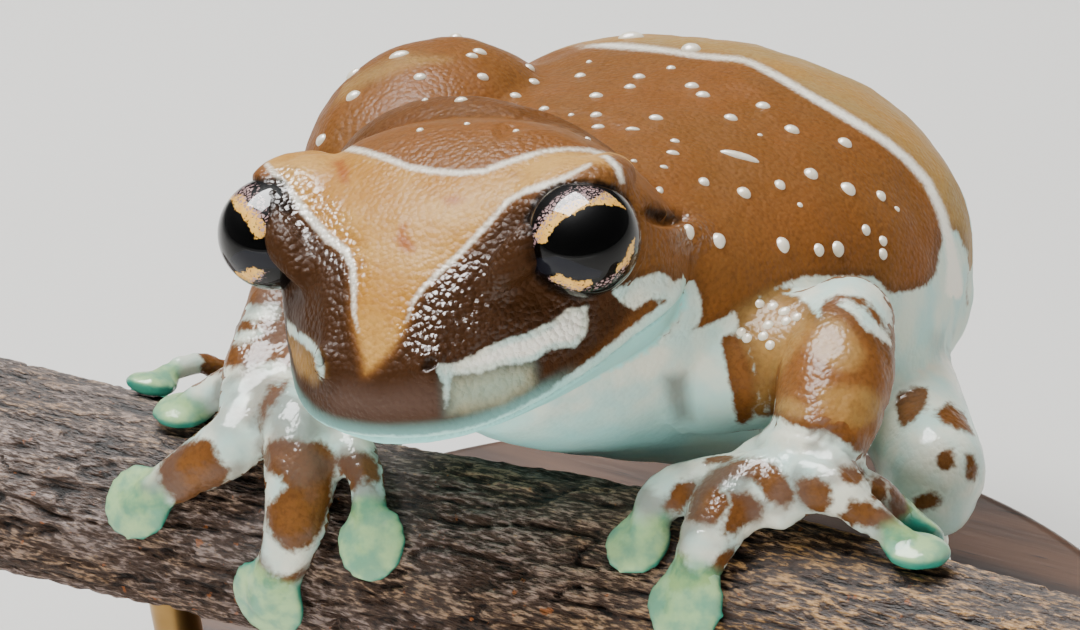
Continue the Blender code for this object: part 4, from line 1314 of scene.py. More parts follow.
    def build(self) -> list[tuple[Flesh, Surface]]:
        """Makes every surface of the frog.

        Returns:
            Pairs of a region and a surface.
        """
        self.add(Flesh.TRUNK, self.trunk())
        self.add(Flesh.LOBE, ball(*self.hump))
        self.add(Flesh.NAPE, ball(*self.nape))
        self.add(Flesh.HEAD, self.head())
        for side in Side:
            brow = ball(self.on_side(side, self.brow[0]), self.brow[1], HEAD.axes())
            rim = [(*self.on_side(side, place), thick, thick) for *place, thick in self.eye_rim]
            self.add(Flesh.HEAD, brow, self.lids(side), limb(rim, 40, 24))
            nostril = self.on_side(side, (*self.nostril, -2.1))
            self.add(Flesh.HEAD, ball(nostril, self.nostril_swell, HEAD.axes(), 14))
            drum = self.on_side(side, self.drum[0])
            self.add(Flesh.HEAD, ball(drum, self.drum[1], axes_along(self.on_side(side, self.drum[2])), 14))
        for region, points in (
            (Flesh.UPPER_ARM_LEFT, self.upper_arm_left),
            (Flesh.FOREARM_LEFT, self.forearm_left),
            (Flesh.UPPER_ARM_RIGHT, self.upper_arm_right),
            (Flesh.FOREARM_RIGHT, self.forearm_right),
        ):
            self.add(region, limb(points))
        for side in Side:
            self.hand(side)
            self.hind_limb(side)
        return self.parts


# Markings


@dataclass(frozen=True)
class CloseView:
    """An enlarged part of the photograph, in whose own pixels outlines were read."""

    left: float
    top: float
    scale: float

    def outline(self, points: Sequence[Row]) -> list[Row]:
        """The same points in the whole photograph's pixels, with half widths shrunk too."""
        return [
            (self.left + x / self.scale, self.top + y / self.scale, *(width / self.scale for width in rest))
            for x, y, *rest in points
        ]


EYE_CLOSE = CloseView(500.0, 165.0, 6.03)
LEFT_ARM_CLOSE = CloseView(590.0, 220.0, 3.824)
RIGHT_HAND_CLOSE = CloseView(90.0, 270.0, 4.356)


def polygon_reach(places: Array, outline: Sequence[Row]) -> Array:
    """Signed distance to a polygon's edge, positive inside it.

    Args:
        places: Points of the plane.
        outline: The polygon's corners in order.

    Returns:
        One distance for each place.
    """
    corners = np.array(outline, float)
    ends = np.roll(corners, -1, 0)
    span = ends - corners
    away = places[:, None] - corners[None]
    part = np.clip((away * span).sum(-1) / np.maximum((span**2).sum(-1), 1e-9), 0, 1)
    distance = np.linalg.norm(away - part[..., None] * span, axis=-1).min(1)
    crosses = (corners[:, 1] > places[:, 1:]) != (ends[:, 1] > places[:, 1:])
    rise = np.where(np.abs(span[:, 1]) < 1e-9, 1e-9, span[:, 1])
    at = corners[:, 0] + (places[:, 1:] - corners[:, 1]) * span[:, 0] / rise
    inside = (crosses & (places[:, :1] < at)).sum(1) % 2 == 1
    return np.where(inside, distance, -distance)


def line_reach(places: Array, line: Sequence[Row]) -> Array:
    """Distance to an open line of corners that may hold a half width as a third number.

    Args:
        places: Points of the plane.
        line: The line's corners with their half width.

    Returns:
        The half width there less the distance, for each place.
    """
    corners = np.array(line, float)
    start, span = corners[:-1, :2], np.diff(corners[:, :2], axis=0)
    away = places[:, None] - start[None]
    part = np.clip((away * span).sum(-1) / np.maximum((span**2).sum(-1), 1e-9), 0, 1)
    distance = np.linalg.norm(away - part[..., None] * span, axis=-1)
    width = corners[:-1, 2] + part * np.diff(corners[:, 2])
    return (width - distance).max(1)


@dataclass(frozen=True)
class HeadMarks:
    """Markings of the head, as outlines in pixels of the photograph."""

    crown: Rows = (
        (261, 156), (270, 147), (286, 142), (313, 142), (334, 146), (363, 152), (386, 158), (409, 167),
        (432, 171), (459, 173), (485, 171), (505, 163), (525, 157), (545, 151), (565, 149), (588, 151),
        (605, 156), (618, 170), (606, 166), (590, 164), (575, 174), (558, 182), (538, 186), (525, 191),
        (508, 200), (497, 213), (485, 226), (469, 243), (452, 261), (436, 274), (422, 289), (412, 302),
        (407, 320), (400, 336), (391, 350), (376, 366), (366, 373), (362, 352), (356, 330), (354, 314),
        (354, 290), (353, 268), (346, 252), (328, 238), (305, 212), (286, 184), (268, 168),
    )
    rear_line: Rows = (
        (322, 144, 1.4), (334, 146, 2.4), (363, 151, 2.6), (386, 158, 2.6), (409, 167, 2.6),
        (432, 171, 2.8), (459, 173, 2.6), (485, 171, 2.4), (505, 163, 2.6), (525, 157, 2.4),
        (545, 151, 1.8), (567, 149, 1.4), (590, 150, 1.6), (606, 156, 2.6), (618, 168, 3.4),
        (622, 181, 2.6),
    )
    left_line: Rows = (
        (590, 164, 1.4), (575, 172, 2.0), (558, 181, 3.0), (538, 187, 3.4), (525, 191, 2.8),
        (508, 201, 2.4), (497, 213, 2.2), (485, 227, 2.2), (469, 244, 2.2), (452, 261, 2.4),
        (436, 275, 2.4), (422, 290, 2.0), (412, 303, 1.6), (407, 320, 0.8),
    )
    # The far white line: real line, widened towards its middle into a painted highlight
    right_line_and_highlight: Rows = (
        (262, 157, 2.0), (270, 169, 2.4), (286, 185, 3.2), (305, 212, 4.2), (328, 238, 4.6),
        (346, 251, 4.2), (353, 268, 3.4), (354, 290, 2.6), (354, 314, 1.6), (358, 332, 0.6),
    )
    cheek_bar: Rows = (
        (439, 365), (459, 363), (485, 348), (505, 339), (532, 332), (552, 322), (568, 309), (588, 305),
        (587, 332), (575, 347), (552, 349), (532, 362), (505, 365), (479, 372), (452, 374), (449, 385),
        (449, 405), (444, 409), (444, 385), (437, 371),
    )
    eye_patch: Rows = (
        (612, 293), (631, 281), (648, 275), (665, 273), (674, 281), (689, 275), (698, 288), (702, 306),
        (699, 326), (686, 333), (677, 318), (665, 300), (648, 300), (634, 309), (625, 306),
    )
    far_patch: Rows = (
        (274, 312), (290, 332), (306, 339), (319, 355), (323, 375), (316, 382), (300, 372), (286, 352),
        (277, 338),
    )
    far_edge: Rows = (
        (277, 306, 2.0), (284, 322, 3.4), (296, 334, 4.2), (308, 342, 4.2), (318, 356, 3.6),
        (322, 378, 2.0),
    )
    # Rusty flecks on the crown
    flecks: tuple[Rows, ...] = (
        ((334, 162), (343, 161), (348, 172), (347, 183), (341, 180), (337, 171)),
        ((400, 224), (408, 222), (407, 235), (415, 246), (412, 253), (402, 250), (394, 240), (399, 232)),
        ((442, 198), (456, 195), (464, 200), (458, 205), (446, 205)),
    )
    # Where the skin is wettest, with the photograph's sharpest glints
    wet_patches: tuple[Rows, ...] = (
        (
            (272, 172), (290, 168), (312, 184), (336, 210), (356, 240), (364, 266), (354, 290), (340, 268),
            (318, 250), (292, 222), (276, 196),
        ),
        (
            (404, 344), (402, 326), (420, 300), (440, 274), (462, 262), (490, 264), (506, 284), (520, 310),
            (560, 300), (590, 300), (590, 336), (560, 352), (520, 368), (470, 376), (430, 366),
        ),
        ((672, 215), (700, 215), (716, 236), (702, 252), (680, 246)),
    )
    snout_grey: Rows = (
        (322, 392), (345, 384), (380, 390), (420, 384), (444, 388), (446, 412), (430, 420), (380, 422),
        (335, 415),
    )
    translucent: Rows = (
        (448, 380), (500, 368), (530, 366), (532, 385), (505, 402), (470, 410), (450, 412),
    )


@dataclass(frozen=True)
class BodyMarks:
    """Markings of the trunk, as outlines in pixels of the photograph or of a close view of it."""

    # In the close view of the left arm
    pale_under: Rows = (
        (-800, 1500), (-800, 560), (-200, 520), (100, 480), (300, 440), (440, 408), (500, 380), (560, 345),
        (620, 312), (700, 262), (745, 240), (830, 215), (930, 215), (1010, 215), (1080, 215), (1110, 240),
        (1150, 285), (1220, 272), (1290, 250), (1325, 200), (1340, 120), (1350, 40), (1400, 40),
        (1440, 120), (1470, 200), (1500, 300), (1560, 400), (1600, 1500),
    )
    armpit: Rows = (
        (505, 440), (560, 430), (600, 470), (625, 560), (645, 640), (642, 700), (604, 785), (562, 775),
        (550, 700), (532, 620), (512, 540),
    )
    flank_spot: Rows = (
        (1172, 665), (1240, 640), (1292, 640), (1290, 700), (1240, 770), (1190, 795), (1165, 720),
    )
    flank_ghost: Rows = ((1310, 430), (1390, 430), (1402, 500), (1372, 560), (1320, 540), (1300, 480))
    rear_spot: Rows = ((1448, 180), (1520, 160), (1520, 385), (1455, 385), (1440, 300))
    throat_spot: Rows = ((285, 600), (365, 585), (388, 760), (332, 768), (300, 690))
    arm_tan: Rows = (
        (560, 345), (640, 295), (700, 262), (790, 262), (840, 310), (872, 372), (820, 450), (760, 520),
        (705, 600), (680, 700), (652, 810), (625, 760), (640, 680), (625, 560), (600, 480), (572, 430),
    )
    # In the photograph's own pixels
    edge_line: Rows = (
        (540, 41, 2.0), (560, 42, 2.6), (588, 44, 3.0), (608, 45, 3.0), (633, 47, 3.0), (664, 50, 2.6),
        (700, 56, 2.4), (740, 59, 2.4), (756, 65, 3.0), (784, 80, 3.4), (807, 94, 3.8), (835, 110, 4.2),
        (863, 127, 4.2), (885, 141, 4.2), (908, 160, 4.4), (928, 183, 4.6), (941, 211, 4.8),
        (949, 239, 5.4), (953, 262, 7.0), (955, 290, 10.0),
    )
    band: Rows = (
        (520, 10), (560, 40), (633, 44), (700, 53), (756, 62), (807, 92), (863, 124), (908, 158),
        (941, 208), (956, 250), (968, 268), (1000, 272), (1060, 100), (900, -20), (600, -40),
    )
    lobe_light: Rows = (
        (290, 160), (300, 60), (400, 20), (495, 30), (492, 60), (470, 90), (424, 98), (380, 114),
        (340, 138),
    )
    ear_cleft: Rows = ((650, 212, 4.5), (661, 216, 6.0), (672, 219, 5.0), (683, 219, 2.5))
    mouth_end: Rows = ((664, 322, 5.0), (680, 330, 7.0), (694, 324, 5.0))
    ear_bulge: Rows = ((685, 230, 9.0), (695, 235, 9.0))
    nape_groove: Rows = (
        (503, 131, 2.0), (517, 122, 2.5), (537, 115, 3.0), (565, 114, 3.0), (593, 122, 3.0),
        (621, 131, 2.0),
    )


@dataclass(frozen=True)
class LimbMarks:
    """Markings of the near arm, the hands and the knee, in the pixels of two close views, with painted shade
    on the far hand's first finger and on the knee's top.
    """

    # In the close view of the left arm
    elbow_cap: Rows = (
        (700, 262), (760, 232), (850, 192), (930, 178), (1010, 188), (1070, 215), (1120, 270), (1152, 340),
        (1165, 430), (1135, 410), (1095, 345), (1040, 300), (960, 286), (905, 300), (872, 372), (842, 338),
        (820, 308), (780, 288),
    )
    crescent: Rows = (
        (940, 312), (1000, 310), (1060, 350), (1112, 400), (1150, 445), (1175, 505), (1140, 480),
        (1098, 450), (1050, 412), (1000, 352), (955, 330),
    )
    wrist: Rows = (
        (560, 800), (640, 745), (700, 748), (760, 780), (830, 796), (900, 804), (960, 842), (1020, 884),
        (1080, 924), (1140, 960), (1160, 1400), (300, 1400), (300, 850),
    )
    forearm_wash: tuple[Rows, ...] = (
        (
            (840, 390), (900, 370), (960, 390), (1010, 450), (1045, 520), (1020, 565), (960, 572),
            (900, 530), (850, 500),
        ),
        (
            (880, 650), (960, 640), (1050, 650), (1112, 690), (1100, 750), (1040, 782), (980, 790),
            (920, 760), (880, 710),
        ),
        ((690, 700), (760, 690), (832, 722), (815, 752), (750, 742)),
    )
    wrist_folds: tuple[Rows, ...] = (
        ((650, 772, 5), (760, 800, 7), (880, 822, 7), (960, 862, 7), (1040, 925, 6), (1105, 1000, 5)),
        ((520, 872, 5), (640, 852, 6), (760, 868, 6), (880, 888, 5)),
        ((860, 905, 5), (960, 925, 6), (1040, 985, 6), (1085, 1060, 5)),
    )
    hand_left_brown: tuple[Rows, ...] = (
        (
            (380, 1135), (400, 1060), (440, 1000), (500, 950), (560, 925), (640, 925), (702, 945),
            (742, 990), (762, 1040), (768, 1072), (740, 1086), (690, 1060), (660, 1010), (630, 975),
            (560, 965), (500, 995), (470, 1032), (520, 1060), (505, 1110), (470, 1150), (430, 1148),
        ),
        (
            (550, 1050), (600, 1060), (650, 1090), (640, 1130), (600, 1145), (560, 1180), (520, 1190),
            (545, 1110),
        ),
        ((440, 892), (540, 888), (522, 920), (452, 916)),
        ((300, 1072), (350, 1010), (402, 1018), (362, 1070), (332, 1110), (300, 1102)),
        (
            (270, 1385), (318, 1290), (352, 1288), (362, 1350), (420, 1372), (480, 1325), (500, 1290),
            (562, 1262), (532, 1340), (470, 1368), (400, 1400), (330, 1400),
        ),
        ((800, 1012), (850, 988), (902, 1020), (912, 1080), (882, 1122), (840, 1092), (810, 1060)),
        ((968, 960), (1010, 950), (1042, 970), (1022, 1002), (982, 992)),
        ((1085, 1000), (1112, 1000), (1124, 1060), (1092, 1072)),
        (
            (1000, 1085), (1100, 1105), (1172, 1145), (1244, 1188), (1180, 1182), (1100, 1162),
            (1040, 1152), (960, 1160), (930, 1148), (1000, 1128),
        ),
    )
    knee_brown_and_shade: tuple[Rows, ...] = (
        ((1440, 890), (1470, 900), (1486, 950), (1472, 1002), (1446, 990), (1434, 940)),
        ((1228, 1072), (1290, 1040), (1352, 1058), (1342, 1090), (1290, 1112), (1234, 1102)),
        ((1338, 872), (1390, 882), (1400, 950), (1352, 960), (1322, 920)),
        # Painted shade along the knee's top
        ((1305, 745), (1380, 695), (1442, 755), (1474, 825), (1400, 800)),
    )
    # In the close view of the right hand
    arm_right_pale: tuple[Rows, ...] = (
        ((560, 152), (820, 145), (830, 215), (800, 212), (640, 222), (560, 222)),
        ((600, 272), (740, 262), (760, 288), (680, 318), (600, 320)),
        (
            (480, 460), (600, 425), (800, 398), (880, 420), (900, 470), (1100, 640), (1300, 700),
            (1300, 1600), (100, 1600), (100, 400),
        ),
    )
    arm_right_wash: tuple[Rows, ...] = (
        ((560, 215), (830, 212), (800, 292), (740, 268), (600, 276)),
        ((560, 330), (720, 322), (800, 345), (800, 400), (600, 425), (520, 440)),
    )
    hand_right_brown_and_shade: tuple[Rows, ...] = (
        (
            (300, 850), (330, 800), (420, 748), (500, 728), (542, 760), (562, 820), (602, 860), (602, 902),
            (560, 960), (482, 992), (402, 1082), (360, 1132), (338, 1060), (368, 1000), (330, 960),
            (304, 920),
        ),
        (
            (740, 870), (750, 780), (800, 738), (900, 733), (1002, 748), (1064, 790), (1064, 900),
            (1042, 1050), (1002, 1152), (950, 1204), (890, 1232), (820, 1192), (770, 1120), (752, 1040),
            (812, 990), (862, 940), (802, 890),
        ),
        (
            (715, 1215), (762, 1300), (830, 1338), (900, 1312), (962, 1288), (942, 1330), (860, 1372),
            (780, 1372), (722, 1332), (688, 1272),
        ),
        # The first finger: its brown here is painted shade
        (
            (1080, 820), (1140, 798), (1230, 800), (1272, 860), (1262, 920), (1232, 962), (1204, 900),
            (1150, 962), (1150, 1080), (1100, 1042), (1080, 920),
        ),
        ((780, 500), (862, 478), (842, 540), (782, 602), (762, 642), (742, 702), (728, 642)),
    )
    hand_right_ghost: Rows = ((540, 620), (600, 590), (645, 620), (630, 700), (560, 715), (530, 680))


# White glands of the back: pixel, half length and half width in millimetres
GLANDS: Rows = (
    (353, 96, 0.55, 0.45), (420, 77, 0.45, 0.35), (483, 77, 0.42, 0.34), (530, 68, 0.42, 0.34),
    (534, 82, 0.42, 0.34), (516, 96, 0.42, 0.32), (544, 109, 0.36, 0.28), (461, 100, 0.42, 0.3),
    (425, 100, 0.22, 0.2), (321, 140, 0.5, 0.42), (580, 76, 0.4, 0.32), (596, 96, 0.48, 0.36),
    (596, 115, 0.4, 0.3), (598, 127, 0.44, 0.26), (633, 129, 0.46, 0.2), (639, 77, 0.44, 0.34),
    (630, 87, 0.4, 0.3), (420, 130, 0.24, 0.2), (467, 124, 0.2, 0.18), (516, 131, 0.22, 0.18),
    (634, 161, 0.22, 0.18), (671, 68, 0.32, 0.26), (692, 86, 0.48, 0.36), (703, 95, 0.5, 0.38),
    (763, 106, 0.5, 0.4), (731, 118, 0.48, 0.38), (656, 118, 0.48, 0.32), (792, 130, 0.54, 0.46),
    (845, 143, 0.52, 0.46), (675, 141, 0.32, 0.22), (673, 153, 0.44, 0.26), (740, 156, 1.3, 0.36),
    (664, 167, 0.28, 0.18), (811, 174, 0.5, 0.5), (704, 182, 0.38, 0.4), (660, 190, 0.26, 0.42),
    (744, 193, 0.5, 0.48), (780, 185, 0.4, 0.42), (848, 189, 0.58, 0.54), (881, 196, 0.4, 0.44),
    (866, 230, 0.36, 0.4), (883, 241, 0.36, 0.36), (883, 254, 0.36, 0.4), (783, 245, 0.52, 0.56),
    (819, 250, 0.42, 0.44), (838, 249, 0.52, 0.54), (719, 241, 0.46, 0.52), (571, 115, 0.22, 0.18),
    (472, 56, 0.42, 0.3), (480, 52, 0.5, 0.34), (399, 55, 0.7, 0.4), (353, 74, 0.6, 0.4),
    (539, 44, 0.8, 0.5), (579, 40, 0.9, 0.5), (631, 37, 0.9, 0.6), (691, 49, 0.7, 0.6),
    (589, 62, 0.22, 0.2), (897, 209, 0.24, 0.2), (800, 205, 0.2, 0.2), (760, 135, 0.18, 0.16),
    (760, 304, 0.34, 0.3), (773, 306, 0.36, 0.3), (784, 311, 0.4, 0.32), (797, 317, 0.34, 0.3),
    (747, 338, 0.34, 0.32), (768, 325, 0.36, 0.32), (786, 321, 0.34, 0.3), (763, 336, 0.34, 0.3),
    (770, 345, 0.32, 0.3), (741, 332, 0.32, 0.3), (690, 232, 0.5, 0.42), (719, 240, 0.5, 0.5),
)


class Markings:
    """Turns the outlines into numbers on the skin's points, on both sides of the animal."""

    # How squarely a point faces the camera where its own marking starts and where it holds in full
    turning: tuple[float, float] = (-0.02, 0.22)

    def __init__(self, places: Array, normals: Array, region: Whole) -> None:
        """Keeps the skin's points with their mirrored twins.

        Args:
            places: The skin's points in millimetres.
            normals: Their normals.
            region: The number of each point's Flesh region.
        """
        self.region = region
        self.count = len(places)
        self.head_places = HEAD.into(places)
        on_head = self.is_in(Flesh.HEAD)[:, None]
        flip = np.array([-1.0, 1.0, 1.0])
        twins = np.where(
            on_head, HEAD.out(self.head_places * flip), places * flip + np.array([TWIN_SHIFT, 0.0, 0.0])
        )
        twin_normals = np.where(on_head, HEAD.out(HEAD.into(normals) * flip), normals * flip)
        self.own = ramp(*self.turning, CAMERA.facing(places, normals))
        self.seen = np.maximum(self.own, ramp(*self.turning, CAMERA.facing(twins, twin_normals)))
        self.pixels = CAMERA.project(places)
        self.twin_pixels = CAMERA.project(twins)

    def is_in(self, *regions: Flesh) -> Mask:
        """Whether each point is in one of the regions."""
        return in_regions(self.region, *regions)

    def read(self, where: Mask, outline: Sequence[Row], line: bool = False, mirror: bool = True) -> Array:
        """Millimetres inside an outline or line of the photograph, on the seen side or its mirrored twin.

        Args:
            where: The points that carry the marking.
            outline: Its corners in pixels.
            line: Whether it is an open line with half widths.
            mirror: Whether the side that the photograph doesn't show gets it too.

        Returns:
            One number for each point, far below zero off the marking.
        """
        result = np.full(self.count, FAR_OFF)
        measure = line_reach if line else polygon_reach
        at = np.nonzero(where)[0]
        near = measure(self.pixels[at], outline) / CAMERA.scale
        far = measure(self.twin_pixels[at], outline) / CAMERA.scale if mirror else np.full(len(at), FAR_OFF)
        own = self.own[at]
        result[at] = near * own + far * (1 - own)
        return result

    def widest(self, where: Mask, outlines: Sequence[Rows], view: CloseView | None = None) -> Array:
        """Millimetres inside any of several outlines, on the camera's side alone.

        Args:
            where: The points that carry the marking.
            outlines: The outlines, in pixels of the photograph or of the close view.
            view: The close view that they were read in.

        Returns:
            One number for each point.
        """
        rows = [one if view is None else view.outline(one) for one in outlines]
        return np.max([self.read(where, one, mirror=False) for one in rows], axis=0)


class SkinPainter:
    """Stores the markings as numbers on the skin's points: millimetres inside each, or an amount."""

    # The largest distance that is stored, inside a marking or outside it
    most: float = 4.0
    # The pixel column left of which the near arm's skin outside the tan is pale like the flank
    arm_edge: float = 768.0
    # Heights under which the trunk is pale: where the photograph doesn't show it, and everywhere
    belly_top: float = -17.5
    belly_full: float = -22.0
    # How much of a point's own marking it must show for the outlines of the near and the far arm
    near_shown: float = 0.3
    far_shown: float = 0.12
    # How far behind the eyes the back turns light, as past the saddle
    light_from: float = 39.0

    def __init__(self, mesh: bpy.types.Mesh, region: Whole, along: Array, form: FrogForm) -> None:
        """Reads the skin's points and sorts them into head, trunk and limbs.

        Args:
            mesh: The finished skin.
            region: The number of each point's Flesh region.
            along: The place of each point along its limb, from 0 to 1.
            form: The frog's form.
        """
        self.mesh, self.along, self.form = mesh, along, form
        self.places, self.normals = places_of(mesh), normals_of(mesh)
        self.head, self.body, self.limbs = HeadMarks(), BodyMarks(), LimbMarks()
        self.marks = marks = Markings(self.places, self.normals, region)
        self.on_head = marks.is_in(Flesh.HEAD)
        self.on_trunk = marks.is_in(Flesh.TRUNK, Flesh.LOBE, Flesh.NAPE)
        self.left_arm = marks.is_in(Flesh.FOREARM_LEFT, Flesh.UPPER_ARM_LEFT)
        self.right_arm = marks.is_in(Flesh.FOREARM_RIGHT, Flesh.UPPER_ARM_RIGHT)
        self.left_hand, self.right_hand = marks.is_in(Flesh.HAND_LEFT), marks.is_in(Flesh.HAND_RIGHT)
        self.left_limb, self.right_limb = self.left_arm | self.left_hand, self.right_arm | self.right_hand
        self.knee = marks.is_in(Flesh.THIGH, Flesh.SHANK) & (self.places[:, 0] > 0) & (marks.own > 0.2)
        self.shown = marks.own > self.near_shown
        self.in_head = marks.head_places
        self.over_lip = self.in_head[:, 2] - form.lip_height(self.in_head[:, 1])
        crown = marks.read(self.on_head, self.head.crown)
        self.crown = np.where(self.in_head[:, 1] > -8.0, crown, -self.most)
        self.arm_tan = marks.widest(self.on_trunk | self.left_arm, (self.body.arm_tan,), LEFT_ARM_CLOSE)

    def paint(self) -> None:
        """Stores every marking under the name that the skin's finish reads."""
        pale, wet = self.pale(), self.wet()
        mint, pad = self.discs()
        amounts = {
            "deep": self.deep(), "haze": self.haze(), "wash": self.wash(), "grain": self.grain(pale, wet),
            "wet": np.maximum(self.damp(), wet), "aqua": self.aqua(), "mint": mint * 0.85, "pad": 0.9 * pad,
            "fold": self.fold(),
        }
        reaches = {
            "pale": pale * self.softness(), "line": self.lines(), "tan": self.crown, "fleck": self.flecks(),
            "band": self.band(),
        }
        for name, values in reaches.items():
            put_values(self.mesh, name, np.clip(values, -self.most, self.most))
        for name, values in amounts.items():
            put_values(self.mesh, name, values)

    def pale(self) -> Array:
        """Millimetres inside the pale skin of jaw, belly and limbs, below 0 in the brown.

        Returns:
            One number for each point.
        """
        marks = self.marks
        pale = np.where(self.on_head, self.pale_head(), self.pale_trunk())
        bands = np.clip(0.9 * np.sin(self.along * 14.2 + 1.2) + 0.25, -1, 1)

        # The near arm, where everything left of the armpit's tan is skin of the flank
        outlines = (self.limbs.elbow_cap, self.limbs.crescent, self.limbs.wrist)
        near = marks.widest(self.left_limb, outlines, LEFT_ARM_CLOSE)
        armpit = marks.widest(self.left_limb, (self.body.armpit, self.body.arm_tan), LEFT_ARM_CLOSE)
        left_of_arm = (self.arm_edge - marks.pixels[:, 0]) / CAMERA.scale
        near = np.maximum(near, np.minimum(-armpit, left_of_arm))
        spots = marks.widest(self.left_limb, self.limbs.hand_left_brown, LEFT_ARM_CLOSE)
        near = np.minimum(near, -0.25 - spots)
        pale = np.where(self.left_limb, np.where(self.shown, near, bands), pale)

        # The far arm, the banded hind legs, the knee and the discs
        far = marks.widest(self.right_limb, self.limbs.arm_right_pale, RIGHT_HAND_CLOSE)
        # The far hand's brown includes painted shade on its first finger
        far = np.minimum(far, -marks.widest(self.right_limb, self.limbs.hand_right_brown_and_shade, RIGHT_HAND_CLOSE))
        pale = np.where(self.right_limb, np.where(marks.own > self.far_shown, far, bands), pale)
        pale = np.where(marks.is_in(Flesh.THIGH, Flesh.SHANK, Flesh.FOOT), bands, pale)
        # The knee's brown includes painted shade along its top
        outlines = (*self.limbs.knee_brown_and_shade, self.body.flank_spot)
        pale = np.where(self.knee, -marks.widest(self.knee, outlines, LEFT_ARM_CLOSE), pale)
        pale = np.where(marks.is_in(Flesh.DISC), 3.0, pale)
        tan = (self.arm_tan > -0.5) & self.on_trunk & self.shown
        return np.where(tan, np.minimum(pale, -self.arm_tan), pale)

    def pale_head(self) -> Array:
        """Millimetres inside the head's pale skin: lip, bar on the cheek and patch behind the eye."""
        head, read = self.head, self.marks.read
        stripe = 1.15 - 0.5 * ramp(2.0, 10.0, self.in_head[:, 1]) - self.over_lip
        pale = np.maximum(stripe, read(self.on_head, head.cheek_bar))
        pale = np.maximum(pale, read(self.on_head, head.eye_patch))
        pale = np.maximum(pale, read(self.on_head, head.far_edge, line=True, mirror=False))
        under = read(self.on_head, LEFT_ARM_CLOSE.outline(self.body.pale_under))
        return np.where(self.in_head[:, 1] < -6.0, np.maximum(-self.over_lip - 1.0, under), pale)

    def pale_trunk(self) -> Array:
        """Millimetres inside the pale skin below the saddle, by height alone where it is hidden."""
        marks, body, on_trunk = self.marks, self.body, self.on_trunk
        under = marks.read(on_trunk, LEFT_ARM_CLOSE.outline(body.pale_under))
        by_height = (self.belly_top - self.places[:, 2]) * 0.7
        under = np.where(marks.seen > 0.5, under, by_height)
        pale = np.where(self.places[:, 2] < self.belly_full, np.maximum(under, by_height), under)
        fore = self.places[:, 1] < 22.0
        pale = np.maximum(pale, marks.read(on_trunk & fore, self.head.eye_patch))
        pale = np.where(marks.is_in(Flesh.LOBE) & (self.places[:, 0] < -6.0), by_height, pale)
        pale = np.maximum(pale, marks.read(on_trunk, body.mouth_end, line=True))
        for patch in (body.armpit, body.flank_spot, body.rear_spot):
            pale = np.minimum(pale, -marks.read(on_trunk, LEFT_ARM_CLOSE.outline(patch)))
        return pale

    def softness(self) -> Array:
        """What the pale reach is multiplied by: markings of the hands and arms have softer edges."""
        hands = self.left_hand | self.right_hand
        return np.where(hands, 0.55, np.where(self.left_arm | self.right_arm | self.knee, 0.75, 1.0))

    def lines(self) -> Array:
        """Millimetres inside the white lines of the head and the saddle's white edge; the far line on the
        crown widens into a painted highlight.
        """
        head, marks = self.head, self.marks
        lines = [marks.read(self.on_head, one, line=True) for one in (head.rear_line, head.left_line)]
        lines.append(marks.read(self.on_head, head.cheek_bar) - 0.35)
        lines.append(marks.read(self.on_head, head.right_line_and_highlight, line=True, mirror=False))
        edge = marks.read(self.on_trunk & ~marks.is_in(Flesh.LOBE), self.body.edge_line, line=True)
        lines.append(np.where(marks.seen > 0.5, edge, -self.most))
        return np.max(lines, axis=0)

    def flecks(self) -> Array:
        """Millimetres inside the crown's rusty flecks."""
        return self.marks.widest(self.on_head, self.head.flecks)

    def band(self) -> Array:
        """Millimetres inside the lighter skin: past the saddle, on the hump and on the arms.

        Returns:
            One number for each point.
        """
        marks, body, head = self.marks, self.body, self.head
        band = np.where(marks.seen > 0.5, marks.read(self.on_trunk, body.band), -self.most)
        rear = (self.places[:, 1] - self.light_from) * 0.6
        band = np.where(self.on_trunk, np.maximum(band, rear), -self.most)
        lobe = marks.read(self.on_trunk, body.lobe_light, mirror=False) * marks.own
        band = np.maximum(band, np.minimum(lobe - 2.3, 0.1))
        band = np.maximum(band, np.minimum(marks.read(self.on_head, head.translucent), 0.25))
        band = np.maximum(band, np.minimum(marks.widest(self.on_head, (head.far_patch,)), 0.3))
        near = marks.widest(self.left_arm, self.limbs.forearm_wash, LEFT_ARM_CLOSE)
        far = marks.widest(self.right_arm, self.limbs.arm_right_wash, RIGHT_HAND_CLOSE)
        for wash in (near, far, self.arm_tan):
            band = np.maximum(band, np.where(self.shown, np.minimum(wash, 0.15), -self.most))
        return band

    def deep(self) -> Array:
        """How much the brown is deepened: between eye and nostril as its own tone, and faintly on the nape
        as painted shade.
        """
        ahead, up = self.in_head[:, 1], self.in_head[:, 2]
        deep = self.on_head * ramp(0.3, -0.8, self.crown) * ramp(-3.0, 1.0, ahead) * ramp(-7.6, -6.2, up)
        # On the nape the darkening is painted shade
        return np.maximum(0.93 * deep, 0.42 * self.marks.is_in(Flesh.NAPE))

    def haze(self) -> Array:
        """How grey the skin is: on the snout, in faint spots and in clouds on the hands.

        Returns:
            One amount for each point.
        """
        marks, body = self.marks, self.body
        haze = 0.6 * ramp(-0.9, 1.0, marks.read(self.on_head, self.head.snout_grey))
        for patch, amount in ((body.flank_ghost, 0.3), (body.throat_spot, 0.7)):
            where = self.on_trunk | self.on_head | self.left_arm
            spot = marks.read(where, LEFT_ARM_CLOSE.outline(patch))
            haze = np.maximum(haze, amount * ramp(-0.6, 0.5, spot))
        hands = self.left_hand | self.right_limb
        haze = np.maximum(haze, hands * 0.62 * ramp(-0.15, 0.45, cloud(self.places, 2.2, 61, 2)))
        ghost = marks.widest(self.right_hand, (self.limbs.hand_right_ghost,), RIGHT_HAND_CLOSE)
        return np.maximum(haze, 0.4 * ramp(-0.9, 0.5, ghost) * self.shown)

